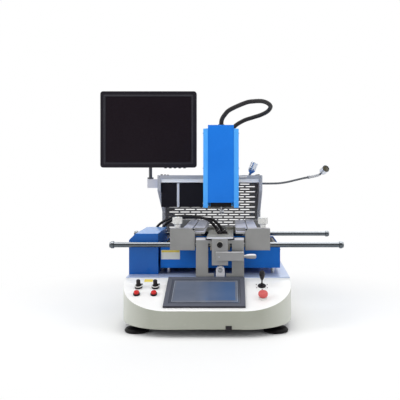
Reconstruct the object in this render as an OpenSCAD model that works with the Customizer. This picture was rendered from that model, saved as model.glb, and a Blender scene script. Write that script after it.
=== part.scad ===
// Rework station for grid-array chips: a floor-levelled base with a touch panel, a bottom preheater,
// sliding board clamps, a lower hot-air nozzle on a lever lift, and a hot-air head that a screw raises
// on a portal, with a swivelling monitor, an optics box on a beam and two gooseneck lamps.
// Millimetres, +Z up, the viewer stands at -Y. Places are measured from the base's middle in X,
// from the front edge of the deck in Y and from the floor in Z, then moved by x_mid and y_mid.

/* [Base] */
// Width of the base
base_w = 490; // [480:1:540]
// Reach of the sloped panel in front of the deck
front_reach = 166; // [160:1:200]
// Depth of the deck
deck_depth = 560; // [555:1:620]
// Height of the underside above the floor
ground_gap = 22; // [20:1:30]
// Height of the upright front face
front_face_h = 51; // [46:1:58]
// Height of the base's flat top above the floor
base_top = 134; // [126:1:145]
// Radius of the rounded front corners
corner_r = 140; // [100:1:150]
// Wall of the base shell
base_wall = 3; // [2:0.5:4]
// Thickness of the deck plate
deck_t = 3; // [2:0.5:5]
// Radius of a levelling foot
foot_r = 35; // [28:1:40]
// Distance of the feet from the middle in X
foot_x = 196; // [180:1:200]
// Inset of the feet from the base's front and rear
foot_inset = 72; // [60:1:80]

/* [Control panel] */
// Width of the touch panel
hmi_w = 226.5; // [200:0.5:240]
// Length of the touch panel along the slope
hmi_l = 158; // [140:1:165]
// Thickness of the touch panel
hmi_t = 6.5; // [5:0.5:9]
// Middle of the touch panel in X
hmi_x = -4; // [-10:1:10]
// Gap between the deck's edge and the touch panel
hmi_gap = 4; // [3:1:8]
// Width of the panel's glass
glass_w = 200; // [150:1:210]
// Length of the panel's glass along the slope
glass_l = 128; // [90:1:134]
// Where the dials stand in the panel's left margin, as a share from the base's side
dial_share = 0.552; // [0.5:0.002:0.58]
// Half the distance between the dials
dial_half = 24.5; // [20:0.5:28]
// Distance of the dials from the deck's edge
dial_back = 51; // [45:1:56]
// Distance of the red push buttons from the deck's edge
button_back = 87; // [80:1:95]
// Radius of a red push button
button_r = 7.5; // [6:0.5:8]
// Where the joystick and the stop button stand in the right margin, as a share from the touch panel
stick_share = 0.3665; // [0.32:0.0005:0.5]
// Distance of the joystick from the deck's edge
stick_back = 44; // [40:1:52]
// Distance of the stop button from the deck's edge
stop_back = 105; // [95:1:110]
// Radius of the stop button's head
stop_r = 13.5; // [11:0.5:16]

/* [Cabinet and preheater] */
// Width of the side cabinet
cabinet_w = 90; // [80:1:92]
// Depth of the side cabinet
cabinet_d = 244; // [220:1:250]
// Height of the side cabinet
cabinet_h = 125; // [110:1:135]
// Distance of the cabinet from the deck's edge
cabinet_y = 50; // [48:1:60]
// Width of the bevel along the cabinet's outer top edge
cabinet_bevel = 20; // [10:1:30]
// Wall of the sheet housings
sheet = 2; // [1.5:0.5:3]
// Width of the preheater tray
tray_w = 370; // [360:1:374]
// Depth of the preheater tray
tray_d = 302; // [280:1:306]
// Height of the preheater tray
tray_h = 68; // [60:1:72]
// Distance of the tray from the deck's edge
tray_y = 60; // [54:1:64]
// Length of the tray's posts
post_h = 18; // [14:1:24]
// Radius of the tray's posts
post_r = 6; // [5:0.5:8]
// Side of a heater tile
tile = 58; // [50:1:60]
// Gap between heater tiles
tile_gap = 10; // [6:1:14]

/* [Board clamps] */
// Work axis in X, where nozzle and board clamps are centred
work_x = 36; // [34:1:38]
// Radius of the guide rods
rod_r = 8; // [6:0.5:9]
// Height of the guide rods above the deck
rod_h = 93; // [90:1:96]
// Distance of the front rod from the deck's edge
rod_front = 30; // [29:1:31]
// Distance between the two rods
rod_span = 356; // [352:1:360]
// Reach of the front rod to the left of the work axis
rod_left = 323; // [315:1:335]
// Reach of the front rod to the right of the work axis
rod_right = 362; // [356:1:370]
// How far the rear rod lies to the right of the front one
rod_shift = 15; // [10:1:20]
// Width of a clamp's end block
block_w = 75; // [70:1:78]
// Depth of a clamp's end block
block_d = 32; // [28:1:34]
// Height of a clamp's end block
block_h = 66; // [60:1:68]
// How far an end block reaches below the rod's axis
block_drop = 15; // [13:1:17]
// Distance of an end block's inner edge from the work axis
block_in = 76; // [75:1:80]
// Width of a clamp arm
arm_w = 66; // [60:1:68]
// Thickness of a clamp arm
arm_t = 17; // [14:1:18]
// Distance of an arm's inner edge from the work axis
arm_in = 47; // [46:1:50]
// Distance of a clamp knob from the work axis
knob_x = 130; // [125:1:134]
// Radius of a clamp knob
knob_r = 15; // [12:0.5:16]
// Height of a clamp knob with its neck
knob_h = 33; // [30:1:36]
// Height of a clamp knob's neck
knob_neck = 14; // [12:1:16]

/* [Nozzle carrier] */
// Half width of the front bracket
bracket_half = 72; // [66:1:73]
// Width of a bracket leg
leg_w = 36.5; // [34:0.5:40]
// Thickness of the front bracket
bracket_t = 12; // [10:1:12]
// Height of the front bracket above the deck
bracket_h = 109.6; // [106:0.2:112]
// Half width of the lift block
lift_half = 24; // [22:1:26]
// Thickness of the lift block
lift_t = 11.7; // [10:0.1:13]
// Half width of the carrier plate
plate_half = 40; // [34:1:42]
// Thickness of the carrier plate
plate_t = 5; // [4:0.5:5.5]
// Distance of the nozzle from the deck's edge
nozzle_y = 208; // [205:1:212]
// Side of the lower nozzle
nozzle_side = 36; // [32:1:38]
// Length of the lever's bar
lever_l = 83; // [76:1:86]
// Height of the lever's bar
lever_h = 27; // [22:1:28]

/* [Hot air head] */
// Width of the head's housing
head_w = 116; // [112:1:120]
// Depth of the head's housing
head_d = 115; // [110:1:118]
// Height of the head's housing
head_h = 258; // [240:1:270]
// Height of the head's lower edge above the deck
head_lift = 199; // [197:1:204]
// Width of the front cover at its face
cover_w = 84; // [76:1:88]
// Depth of the front cover
cover_d = 15; // [12:1:18]
// Height of the front cover
cover_h = 252; // [236:1:262]
// How far the cover's lower edge stays above the housing's
cover_up = 17; // [14:1:20]
// Radius of the pick-up rod
pick_r = 2; // [1.5:0.25:2.5]
// Radius of the lift screw
screw_r = 5; // [4:0.5:6]

/* [Portal] */
// Width of the portal
portal_w = 373; // [366:1:380]
// Middle of the portal in X
portal_x = -6.5; // [-10:0.5:-4]
// Height of the portal above the deck
portal_h = 306; // [304:1:312]
// Distance of the portal's overhang from the deck's edge
portal_front = 326; // [325:1:330]
// Depth of the overhang in front of the columns
overhang = 141; // [136:1:145]
// Height of the overhang's upright edge
overhang_h = 56; // [50:1:60]
// Drop of the overhang's sloped edge
overhang_drop = 79; // [70:1:82]
// Width of the grey front trim
trim_w = 12; // [10:1:14]
// Thickness of the portal's side plates
plate_side = 6; // [4:0.5:8]
// Length of a ventilation slot
slot_l = 36; // [30:1:40]
// Height of a ventilation slot
slot_h = 3.6; // [3:0.2:5.6]
// Distance between rows of slots
slot_pitch = 10; // [9:0.5:12]

/* [Optics, monitor and lamps] */
// Width of the optics box
optics_w = 150; // [140:1:155]
// Depth of the optics box
optics_d = 115; // [100:1:120]
// Height of the optics box
optics_h = 86; // [80:1:88]
// Width of the monitor
monitor_w = 343; // [320:1:350]
// Height of the monitor
monitor_h = 272; // [250:1:280]
// Thickness of the monitor's front frame
monitor_t = 30; // [26:1:32]
// Width of the frame beside the screen
monitor_rim = 20; // [16:1:24]
// Middle of the monitor in X
monitor_x = -225.5; // [-232:0.5:-224]
// Height of the monitor's lower edge above the deck
monitor_lift = 333; // [330:1:340]
// Radius of the monitor's pole
pole_r = 6; // [5:0.5:8]
// Radius of a lamp head
lamp_r = 13.5; // [11:0.5:16]
// Length of a lamp head
lamp_l = 40; // [34:1:46]
// Radius of a gooseneck
neck_r = 3.5; // [3:0.25:4]
// Middle of the long lamp's opening in X
lamp_x = 413; // [405:1:420]

/* [Cables] */
// Radius of the head's hose
hose_r = 7.5; // [6:0.25:8]
// Radius of a carrier cable
cable_r = 4.5; // [3.5:0.25:5]
// Radius of the mains gland's bore
mains_r = 6; // [5:0.25:7]

/* [Clearances] */
// Radial clearance of shafts in their bores
run_fit = 0.05; // [0.02:0.01:0.1]
// Gap between parts that slide past each other
slide_gap = 0.3; // [0.25:0.05:0.5]

/* [Hidden] */
$fn = 64;
// Overshoot of a cut past the face that it opens
cut = 1;
// Deck and panel
deck_z = base_top + deck_t;
slope = atan((base_top - ground_gap - front_face_h) / front_reach);
left_margin = base_w / 2 + hmi_x - hmi_w / 2;
right_margin = base_w / 2 - hmi_x - hmi_w / 2;
dial_x = dial_share * left_margin - base_w / 2;
stick_x = hmi_x + hmi_w / 2 + stick_share * right_margin;
panel_seat = 0.05;
usb_x = 63;
usb_w = 17;
usb_h = 11;
usb_lip = 1.5;
usb_fit = 1;
foot_y = [foot_inset - front_reach, deck_depth - foot_inset];
// Rods, clamps and bracket
rod_z = deck_z + rod_h;
rod_y = [rod_front, rod_front + rod_span];
cap_l = 13;
cap_r = 11;
block_z = rod_z - block_drop;
clamp_top = block_z + block_h;
arm_y0 = rod_y[0] + block_d / 2;
arm_y1 = rod_y[1] - block_d / 2;
bracket_y = rod_front - block_d / 2 - bracket_t - slide_gap;
bracket_top = deck_z + bracket_h;
holder_half = 30;
// Carrier and lever
plate_drop = 12;
plate_z = clamp_top - arm_t - plate_drop;
plate_past = 32;
plate_back = nozzle_y + plate_past;
lift_up = 36;
lift_z = deck_z + lift_up;
lift_y = bracket_y - slide_gap - lift_t;
lift_down = 2;
lever_y = lift_y - slide_gap;
lever_t = 12;
lever_up = 64;
lever_z = deck_z + lever_up;
lever_pin_r = 5;
lever_pin_l = 8;
plug_at = [[work_x - 2, 92], [work_x + 14, 100]];
plug_h = 14;
plug_tilt = 40;
plug_foot = 3;
plug_r = cable_r + 2.2;
lead_gap = 0.9;
function plug_tip(k, out) = [plug_at[k][0] - out * sin(plug_tilt), plug_at[k][1],
    plate_z + plate_t + plug_foot + out * cos(plug_tilt)];
// Head and its lift
head_z = deck_z + head_lift;
head_ahead = 50;
head_y = nozzle_y - head_ahead;
head_back = head_y + head_d;
head_top = head_z + head_h;
cover_z = head_z + cover_up;
cover_top = cover_z + cover_h;
carriage_t = 10;
rail_w = 12;
rail_t = 12;
rail_x = 32;
rail_back = head_back + carriage_t + rail_t;
screw_ahead = 15;
screw_y = portal_front - screw_ahead;
screw_tail = 20;
mount_t = 6;
mount_y = portal_front - mount_t;
mount_half = 55;
mount_up = 190;
mount_z0 = deck_z + mount_up;
tab_t = 8;
tab_half = 22;
tab_ahead = 13;
tab_back = 40;
portal_top = deck_z + portal_h;
motor_z = portal_top + tab_t;
nut_up = 45;
nut_z = mount_z0 + nut_up;
nut_h = 16;
tip_drop = 25;
tip_z = head_z - tip_drop;
// Portal
column_y = portal_front + overhang;
knee_z = portal_top - overhang_h;
hip_z = knee_z - overhang_drop;
portal_x0 = portal_x - portal_w / 2;
portal_x1 = portal_x + portal_w / 2;
trim_d = 4;
beam_h = 14;
beam_d = 20;
beam_z = portal_top - trim_w - beam_h;
panel_t = 2;
panel_y = deck_depth - 2 * panel_t;
// Optics and monitor
optics_x = portal_x0 + trim_w + 2 * slide_gap;
optics_back = 9;
optics_y = portal_front + optics_back;
optics_drop = 2;
optics_z = beam_z - optics_h - optics_drop;
monitor_back = 4;
monitor_y = portal_front + monitor_back;
monitor_z = deck_z + monitor_lift;
pole_back = 51;
pole_y = portal_front + pole_back;
tilt_back = 40;
tilt_y = monitor_y + tilt_back;
tilt_up = 130;
tilt_z = monitor_z + tilt_up;
// Lamps, cables and glands
lamp_back = 40;
lamp_y = portal_front + lamp_back;
lamp_ahead = 6;
lamp_up = 24;
lamp_z = portal_top + lamp_up;
lamp_way = [0.23, -0.92, 0.32];
lamp_reach = lamp_r * sqrt(1 - pow(lamp_way[0] / norm(lamp_way), 2));
short_lamp_x = 140;
short_lamp_up = 9;
short_lamp_z = portal_top + short_lamp_up;
short_lamp_back = 20;
short_lamp_y = lamp_y + short_lamp_back;
short_lamp_way = [0.37, -0.10, 0.92];
gland_at = [[-215, 340], [-190, 345]];
gland_h = 20;
hose_gland = [44, 380];
hose_gland_h = 19;
fitting_h = 6;
mains_x = -120;
mains_z = 80;
mains_out = 24;
// Middle of the whole model, for the move to the origin
x_mid = (monitor_x - monitor_w / 2 + lamp_x + lamp_reach) / 2;
y_mid = (deck_depth + mains_out - front_reach - usb_lip) / 2;
// Hand-laid routes of the hose and of the two cables
hose_route = [
    [work_x, nozzle_y, cover_top + fitting_h], [38, 208, 628], [48, 208, 645], [66, 208, 662],
    [117, 210, 685], [147, 216, 691], [176, 232, 693], [197, 256, 688], [206, 284, 680], [197, 314, 668],
    [174, 338, 658], [145, 352, 650], [112, 359, 639], [78, 366, 616], [50, 377, 570], [44, 380, 520],
    [hose_gland[0], hose_gland[1], portal_top + hose_gland_h + slide_gap]
];
cable_route_1 = [
    [gland_at[0][0], gland_at[0][1], deck_z + gland_h], [-215, 340, 178], [-212, 338, 212],
    [-203, 330, 245], [-182, 312, 271], [-150, 280, 290], [-118, 232, 303], [-62, 152, 309],
    [-28, 120, 306], [-4, 100, 297], plug_tip(0, 2 * plug_h), plug_tip(0, plug_h + lead_gap)
];
cable_route_2 = [
    [gland_at[1][0], gland_at[1][1], deck_z + gland_h], [-190, 345, 178], [-188, 342, 216],
    [-178, 332, 250], [-156, 310, 274], [-124, 276, 290], [-92, 232, 299], [-48, 164, 304],
    [-16, 132, 303], [11, 109, 296], plug_tip(1, 2 * plug_h), plug_tip(1, plug_h + lead_gap)
];
neck_reach = [0, 30, 60, 90, 120, 155, 190];
neck_rise = [-30, -30, -29, -25, -18, -10, -4];
neck_swing = [0, 0, 0, 0, 0, 4, 16];
neck_bend = [-21, 28, -22];
neck_end = [-11, 36, -15];
neck_route_1 = concat(
    [for (k = [0:6]) [portal_x1 + neck_reach[k], lamp_y + neck_swing[k], portal_top + neck_rise[k]]],
    [[lamp_x, lamp_y, lamp_z] + neck_bend, [lamp_x, lamp_y, lamp_z] + neck_end]
);
stub_foot = [-4, 0, -9];
stub_bend = [-3, 0, -4];
stub_end = [1, -1, 4];
neck_route_2 = [
    for (at = [stub_foot, stub_bend, stub_end]) [short_lamp_x, short_lamp_y, short_lamp_z] + at
];
blue = [0.10, 0.42, 0.82];
dark_blue = [0.08, 0.32, 0.66];
white = [0.90, 0.91, 0.90];
grey = [0.58, 0.58, 0.57];
steel = [0.72, 0.73, 0.75];
black = [0.07, 0.07, 0.08];
red = [0.82, 0.12, 0.10];

// Moves every piece from the deck's own measures to the model's origin
module placed() {
    translate([-x_mid, -y_mid, 0]) children();
}

// Puts a piece on the sloped panel, with its Z along the panel's normal
module on_panel(x, back) {
    translate([x, -back, base_top - back * tan(slope)]) rotate([slope, 0, 0]) children();
}

// Cylinder along X with its start at a point
module rod_along_x(r, l) {
    rotate([0, 90, 0]) cylinder(r = r, h = l);
}

// Cylinder along Y with its start at a point
module rod_along_y(r, l) {
    rotate([-90, 0, 0]) cylinder(r = r, h = l);
}

// Box given by its two corners
module block(low, high) {
    translate(low) cube(high - low);
}

// Smooth curve through route points, with some steps for each stretch
function blend_point(a, b, c, d, t) =
    0.5 * ((2 * b) + (c - a) * t + (2 * a - 5 * b + 4 * c - d) * t * t + (3 * b - a - 3 * c + d) * t * t * t);
function route_at(p, i) = p[max(0, min(len(p) - 1, i))];
function smooth_route(p, steps) = concat(
    [for (i = [0:len(p) - 2], s = [0:steps - 1])
        blend_point(route_at(p, i - 1), p[i], p[i + 1], route_at(p, i + 2), s / steps)],
    [p[len(p) - 1]]
);
function unit(v) = v / norm(v);
function heading(p, i) = unit(route_at(p, i + 1) - route_at(p, i - 1));
function side_of(t, across) = unit(cross(t, across));

// Round tube swept along a route, with across a direction that the route never takes
module tube(route, r, sides, across) {
    n = len(route);
    rings = [for (i = [0:n - 1])
        let (t = heading(route, i), a = side_of(t, across), b = cross(t, a))
        for (k = [0:sides - 1])
            route[i] + r * (cos(360 * k / sides) * a + sin(360 * k / sides) * b)];
    walls = [for (i = [0:n - 2], k = [0:sides - 1])
        let (k2 = (k + 1) % sides)
        [i * sides + k, (i + 1) * sides + k, (i + 1) * sides + k2, i * sides + k2]];
    foot = [[for (k = [0:sides - 1]) k]];
    tip = [[for (k = [sides - 1:-1:0]) (n - 1) * sides + k]];
    polyhedron(points = rings, faces = concat(foot, walls, tip), convexity = 6);
}

// Plan of the base with round front corners, drawn in by an inset
module base_plan(inset) {
    half = base_w / 2 - inset;
    front = inset - front_reach;
    rear = deck_depth - inset;
    r = corner_r - inset;
    translate([r - half, front]) square([2 * (half - r), rear - front]);
    translate([-half, front + r]) square([2 * half, rear - front - r]);
    for (s = [-1, 1]) translate([s * (half - r), front + r]) circle(r = r);
}

// Everything above the sloped panel, lowered by a wall
module above_slope(drop) {
    translate([0, 0, base_top]) rotate([slope, 0, 0])
        translate([-base_w, -2 * front_reach, -drop]) cube([2 * base_w, 2 * front_reach + drop, base_top]);
}

// Base: moulded shell with its wall, panel holes and access port
collar_h = 5;
ball_r = 8.5;
stick_bore = ball_r + slide_gap;
module base_shell() color(white) placed() difference() {
    translate([0, 0, ground_gap]) linear_extrude(base_top - ground_gap) base_plan(0);
    above_slope(0);
    difference() {
        translate([0, 0, ground_gap - cut])
            linear_extrude(base_top - base_wall - ground_gap + cut) base_plan(base_wall);
        above_slope(base_wall);
    }
    for (s = [-1, 1]) {
        on_panel(dial_x + s * dial_half, dial_back) translate([0, 0, -10]) cylinder(r = 4, h = 20);
        on_panel(dial_x + s * dial_half, button_back)
            translate([0, 0, -10]) cylinder(r = button_r + cut, h = 20);
    }
    on_panel(stick_x, stop_back) translate([0, 0, -10]) cylinder(r = 9, h = 20);
    on_panel(stick_x, stick_back) translate([0, 0, -10]) cylinder(r = stick_bore + cut, h = 20);
    translate([usb_x - usb_w / 2 + usb_fit, -front_reach - cut, ground_gap + usb_fit])
        cube([usb_w - 2 * usb_fit, base_wall + 2 * cut, usb_h - 2 * usb_fit]);
    translate([mains_x, deck_depth - base_wall - cut, mains_z]) rod_along_y(9, base_wall + 2 * cut);
}

// Base: flat pan that closes the shell from below
module base_pan() color(steel) placed() translate([0, 0, ground_gap])
    linear_extrude(base_wall) base_plan(base_wall + slide_gap);

// Base: deck plate that carries everything above
module deck_plate() color([0.55, 0.58, 0.64]) placed()
    block([-base_w / 2, 0, base_top], [base_w / 2, deck_depth, deck_z]);

// Base: four levelling feet with a wide pad and a lock nut
module levelling_feet() color(black) placed()
    for (s = [-1, 1], y = foot_y) translate([s * foot_x, y, 0]) {
        rotate_extrude() polygon([[0, 0], [foot_r - 3, 0], [foot_r, 3], [foot_r, 7], [foot_r - 4, 11],
            [14, ground_gap - 8], [10, ground_gap - 6], [0, ground_gap - 6]]);
        translate([0, 0, ground_gap - 6]) cylinder(r = 10, h = 6, $fn = 6);
    }

// Panel: touch display's bezel with its glass recess
glass_t = 2;
module on_seat() {
    on_panel(hmi_x, hmi_gap) translate([0, -hmi_l / 2, panel_seat]) children();
}
module hmi_bezel() color([0.16, 0.17, 0.20]) placed() on_seat() difference() {
    translate([-hmi_w / 2, -hmi_l / 2, 0]) cube([hmi_w, hmi_l, hmi_t]);
    translate([-glass_w / 2, -glass_l / 2, hmi_t - glass_t]) cube([glass_w, glass_l, glass_t + cut]);
}

// Panel: touch display's glass
glass_low = 0.2;
module hmi_screen() color([0.08, 0.09, 0.12]) placed() on_seat()
    translate([slide_gap - glass_w / 2, slide_gap - glass_l / 2, hmi_t - glass_t])
        cube([glass_w - 2 * slide_gap, glass_l - 2 * slide_gap, glass_t - glass_low]);

// Panel: dust cap of the data port at the base's lower edge
module usb_cap() color(black) placed() translate([usb_x, -front_reach, ground_gap + usb_h / 2]) {
    translate([-usb_w / 2, -usb_lip, -usb_h / 2]) cube([usb_w, usb_lip, usb_h]);
    translate([slide_gap + usb_fit - usb_w / 2, 0, slide_gap + usb_fit - usb_h / 2])
        cube([usb_w - 2 * usb_fit - 2 * slide_gap, base_wall - 0.5, usb_h - 2 * usb_fit - 2 * slide_gap]);
}

// Panel: a collar ring with its bore
module collar(r, bore, h) {
    difference() {
        cylinder(r = r, h = h);
        translate([0, 0, -cut]) cylinder(r = bore, h = h + 2 * cut);
    }
}

// Panel: rings under the dials, buttons, stop button and joystick
dial_shaft = 3;
dial_ring = 11;
stop_stem = 8;
stick_rim = 3;
stick_collar_h = 3;
module panel_collars() color(black) placed() {
    for (s = [-1, 1]) {
        on_panel(dial_x + s * dial_half, dial_back) collar(dial_ring, dial_shaft + run_fit, collar_h + 1);
        on_panel(dial_x + s * dial_half, button_back) collar(button_r + 2, button_r + run_fit, collar_h);
    }
    on_panel(stick_x, stop_back) collar(stop_r - 2, stop_stem + run_fit, collar_h);
    on_panel(stick_x, stick_back) collar(stick_bore + stick_rim, stick_bore, stick_collar_h);
}

// Cabinet: sheet housing for the drive electronics with a bevelled outer top edge
cabinet_gap = 6;
cabinet_x = work_x - tray_w / 2 - cabinet_gap - cabinet_w;
module cabinet_profile(inset) {
    top = cabinet_h - inset;
    polygon([[inset, 0], [cabinet_w - inset, 0], [cabinet_w - inset, top],
        [cabinet_bevel, top], [inset, top - cabinet_bevel + inset]]);
}
module side_cabinet() color(dark_blue) placed()
    translate([cabinet_x, cabinet_y + cabinet_d, deck_z]) rotate([90, 0, 0]) difference() {
        linear_extrude(cabinet_d) cabinet_profile(0);
        translate([0, -cut, sheet]) linear_extrude(cabinet_d - 2 * sheet) cabinet_profile(sheet);
    }

// Preheater: open tray with an inner ledge for its grid
tray_z = deck_z + post_h;
grid_t = 3;
grid_drop = 4;
grid_z = tray_z + tray_h - grid_drop - grid_t;
ledge = 6;
module preheater_tray() color(dark_blue) placed()
    translate([work_x - tray_w / 2, tray_y, tray_z]) difference() {
        cube([tray_w, tray_d, tray_h]);
        translate([sheet, sheet, grid_z - tray_z])
            cube([tray_w - 2 * sheet, tray_d - 2 * sheet, tray_h]);
        translate([sheet + ledge, sheet + ledge, sheet])
            cube([tray_w - 2 * (sheet + ledge), tray_d - 2 * (sheet + ledge), tray_h]);
    }

// Preheater: posts that stand the tray off the deck
post_in = 22;
module preheater_posts() color(steel) placed()
    for (sx = [-1, 1], y = [tray_y + post_in, tray_y + tray_d - post_in])
        translate([work_x + sx * (tray_w / 2 - post_in), y, deck_z]) cylinder(r = post_r, h = post_h);

// Preheater: ceramic infra-red tiles, each on its stem
tile_pitch = tile + tile_gap;
tile_cols = floor((tray_w - 2 * (sheet + ledge) + tile_gap) / tile_pitch);
tile_rows = floor((tray_d - 2 * (sheet + ledge) + tile_gap) / tile_pitch);
tile_t = 10;
tile_top = 14;
module heater_tiles() color([0.80, 0.76, 0.70]) placed()
    for (i = [0:tile_cols - 1], j = [0:tile_rows - 1])
        translate([work_x + (i - (tile_cols - 1) / 2) * tile_pitch,
            tray_y + tray_d / 2 + (j - (tile_rows - 1) / 2) * tile_pitch, tray_z + sheet]) {
            cylinder(r = 6, h = grid_z - tile_top - tile_t - tray_z - sheet);
            translate([-tile / 2, -tile / 2, grid_z - tile_top - tile_t - tray_z - sheet])
                cube([tile, tile, tile_t]);
        }

// Preheater: safety grid of bars in a rim
bar_w = 5;
bar_pitch = 18;
grid_w = tray_w - 2 * sheet - 2 * slide_gap;
grid_d = tray_d - 2 * sheet - 2 * slide_gap;
module preheater_grid() color([0.15, 0.15, 0.17]) placed()
    translate([work_x - grid_w / 2, tray_y + sheet + slide_gap, grid_z]) linear_extrude(grid_t) {
        difference() {
            square([grid_w, grid_d]);
            translate([ledge + 2, ledge + 2]) square([grid_w - 2 * ledge - 4, grid_d - 2 * ledge - 4]);
        }
        for (y = [ledge + bar_pitch:bar_pitch:grid_d - ledge - bar_w])
            translate([ledge, y]) square([grid_w - 2 * ledge, bar_w]);
        for (k = [1:3]) translate([grid_w * k / 4 - bar_w / 2, ledge]) square([bar_w, grid_d - 2 * ledge]);
    }

// Clamps: grey bracket with its window and split foot
foot_bar = 10.6;
head_bar = 9.9;
foot_gap = 36;
bracket_bevel = 7;
shoulder_w = 29;
module front_bracket() color(grey) placed() difference() {
    union() {
        block([work_x - bracket_half, bracket_y, deck_z],
            [work_x + bracket_half, bracket_y + bracket_t, bracket_top]);
        for (x = [work_x - bracket_half, work_x + bracket_half - shoulder_w])
            block([x, bracket_y, bracket_top - cut],
                [x + shoulder_w, bracket_y + bracket_t, bracket_top + bracket_bevel]);
    }
    translate([work_x - bracket_half - cut, bracket_y, bracket_top]) rotate([45, 0, 0])
        translate([0, -bracket_t, 0]) cube([2 * bracket_half + 2 * cut, 2 * bracket_t, bracket_t]);
    block([work_x - bracket_half + leg_w, bracket_y - cut, deck_z + foot_bar],
        [work_x + bracket_half - leg_w, bracket_y + bracket_t + cut, bracket_top - head_bar]);
    block([work_x - foot_gap / 2, bracket_y - cut, deck_z - cut],
        [work_x + foot_gap / 2, bracket_y + bracket_t + cut, deck_z + foot_bar + cut]);
}

// Clamps: two guide rods along X
module guide_rods() color(steel) placed() {
    translate([work_x - rod_left, rod_y[0], rod_z]) rod_along_x(rod_r, rod_left + rod_right);
    translate([work_x - rod_left + rod_shift, rod_y[1], rod_z]) rod_along_x(rod_r, rod_left + rod_right);
}

// Clamps: blocks that hold the middle of each rod, and the rear one's upright plate
holder_past = 14;
holder_low = 1;
rear_plate_t = 8;
rear_plate_up = 6;
module rod_holders() color(grey) placed() difference() {
    rear_y = rod_y[1] + block_d / 2 + slide_gap;
    union() {
        block([work_x - holder_half, bracket_y + bracket_t, rod_z - block_drop],
            [work_x + holder_half, rod_y[0] + holder_past, bracket_top - holder_low]);
        block([work_x - holder_half, rod_y[1] - holder_past, deck_z],
            [work_x + holder_half, rear_y + cut, bracket_top - holder_low]);
        block([work_x - bracket_half, rear_y, deck_z],
            [work_x + bracket_half, rear_y + rear_plate_t, bracket_top + rear_plate_up]);
    }
    for (y = rod_y) translate([work_x - holder_half - cut, y, rod_z])
        rod_along_x(rod_r + run_fit, 2 * holder_half + 2 * cut);
}

// Clamps: turned caps that stop the clamps at the rods' ends
module rod_end_cap() {
    rotate([0, 90, 0]) rotate_extrude()
        polygon([[0, 0], [cap_r, 0], [cap_r, cap_l - 5], [cap_r - 2, cap_l - 3],
            [cap_r - 2, cap_l - 1], [cap_r - 3, cap_l], [0, cap_l]]);
}
module rod_end_caps() color(steel) placed()
    for (k = [0, 1]) {
        translate([work_x + rod_right + k * rod_shift, rod_y[k], rod_z]) rod_end_cap();
        translate([work_x - rod_left + k * rod_shift, rod_y[k], rod_z]) mirror([1, 0, 0]) rod_end_cap();
    }

// Clamps: lug with a round top that stops the lift block
lug_half = 13;
lug_t = 10;
lug_top = lift_z - lift_down - 1;
module stop_lug() color(grey) placed() translate([work_x + 1, bracket_y + lug_t, 0]) {
    rotate([90, 0, 0]) linear_extrude(lug_t) {
        translate([-lug_half, deck_z]) square([2 * lug_half, lug_top - lug_half - deck_z]);
        translate([0, lug_top - lug_half]) circle(r = lug_half);
    }
    translate([0, -lug_t, lug_top - lug_half]) rotate([90, 0, 0]) rotate_extrude()
        polygon([[0, 0], [6.5, 0], [6.5, 2], [5, 4], [2.5, 5], [0, 5]]);
}

// Portal: side profile of a wall
module portal_profile(front) {
    polygon([[portal_front + front, portal_top], [portal_front + front, knee_z],
        [column_y + front, hip_z], [column_y + front, deck_z], [deck_depth, deck_z],
        [deck_depth, portal_top]]);
}
module side_plate(profile_front) {
    rotate([90, 0, 90]) linear_extrude(plate_side) portal_profile(profile_front);
}

// Portal: two side plates and the top plate
module gantry_shell() color([0.20, 0.45, 0.75]) placed() {
    translate([portal_x0, 0, 0]) side_plate(trim_d);
    translate([portal_x1 - plate_side, 0, 0]) side_plate(trim_d);
    block([portal_x0, portal_front + trim_d, portal_top - plate_side], [portal_x1, deck_depth, portal_top]);
}

// Portal: folded grey trim along the front edges
module gantry_trim() color(grey) placed() {
    for (x = [portal_x0, portal_x1 - trim_w]) translate([x, 0, 0]) rotate([90, 0, 90])
        linear_extrude(trim_w) difference() {
            portal_profile(0);
            portal_profile(trim_d);
        }
    block([portal_x0, portal_front, portal_top - trim_w], [portal_x1, portal_front + trim_d, portal_top]);
}

// Portal: slotted back panel, rows staggered by half a pitch
slot_step = slot_l + 7;
slot_rows = 22;
slot_cols = 8;
slot_up = 60;
slot_z = deck_z + slot_up;
module gantry_back_panel() color([0.24, 0.24, 0.26]) placed()
    translate([0, panel_y + panel_t, 0]) rotate([90, 0, 0]) linear_extrude(panel_t) difference() {
        translate([portal_x0 + plate_side, deck_z])
            square([portal_w - 2 * plate_side, portal_h - plate_side]);
        for (row = [0:slot_rows - 1], k = [0:slot_cols - 1 - row % 2])
            translate([portal_x + (k - slot_cols / 2 + (row % 2) / 2) * slot_step + (slot_step - slot_l) / 2,
                slot_z + row * slot_pitch]) square([slot_l, slot_h]);
    }

// Portal: light cross beam with a tee slot that carries the optics box
tee_w = 10;
tee_neck = 5;
tee_t = 4;
tee_lip = 3;
beam_y = portal_front + trim_d;
module optics_beam() color([0.80, 0.81, 0.82]) placed()
    translate([portal_x0 + plate_side, beam_y, beam_z]) difference() {
        cube([portal_w - 2 * plate_side, beam_d, beam_h]);
        translate([-cut, (beam_d - tee_neck) / 2 - slide_gap, -cut])
            cube([portal_w, tee_neck + 2 * slide_gap, tee_lip + 2 * cut]);
        translate([-cut, (beam_d - tee_w) / 2 - slide_gap, tee_lip])
            cube([portal_w, tee_w + 2 * slide_gap, tee_t + 2 * slide_gap]);
    }

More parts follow.
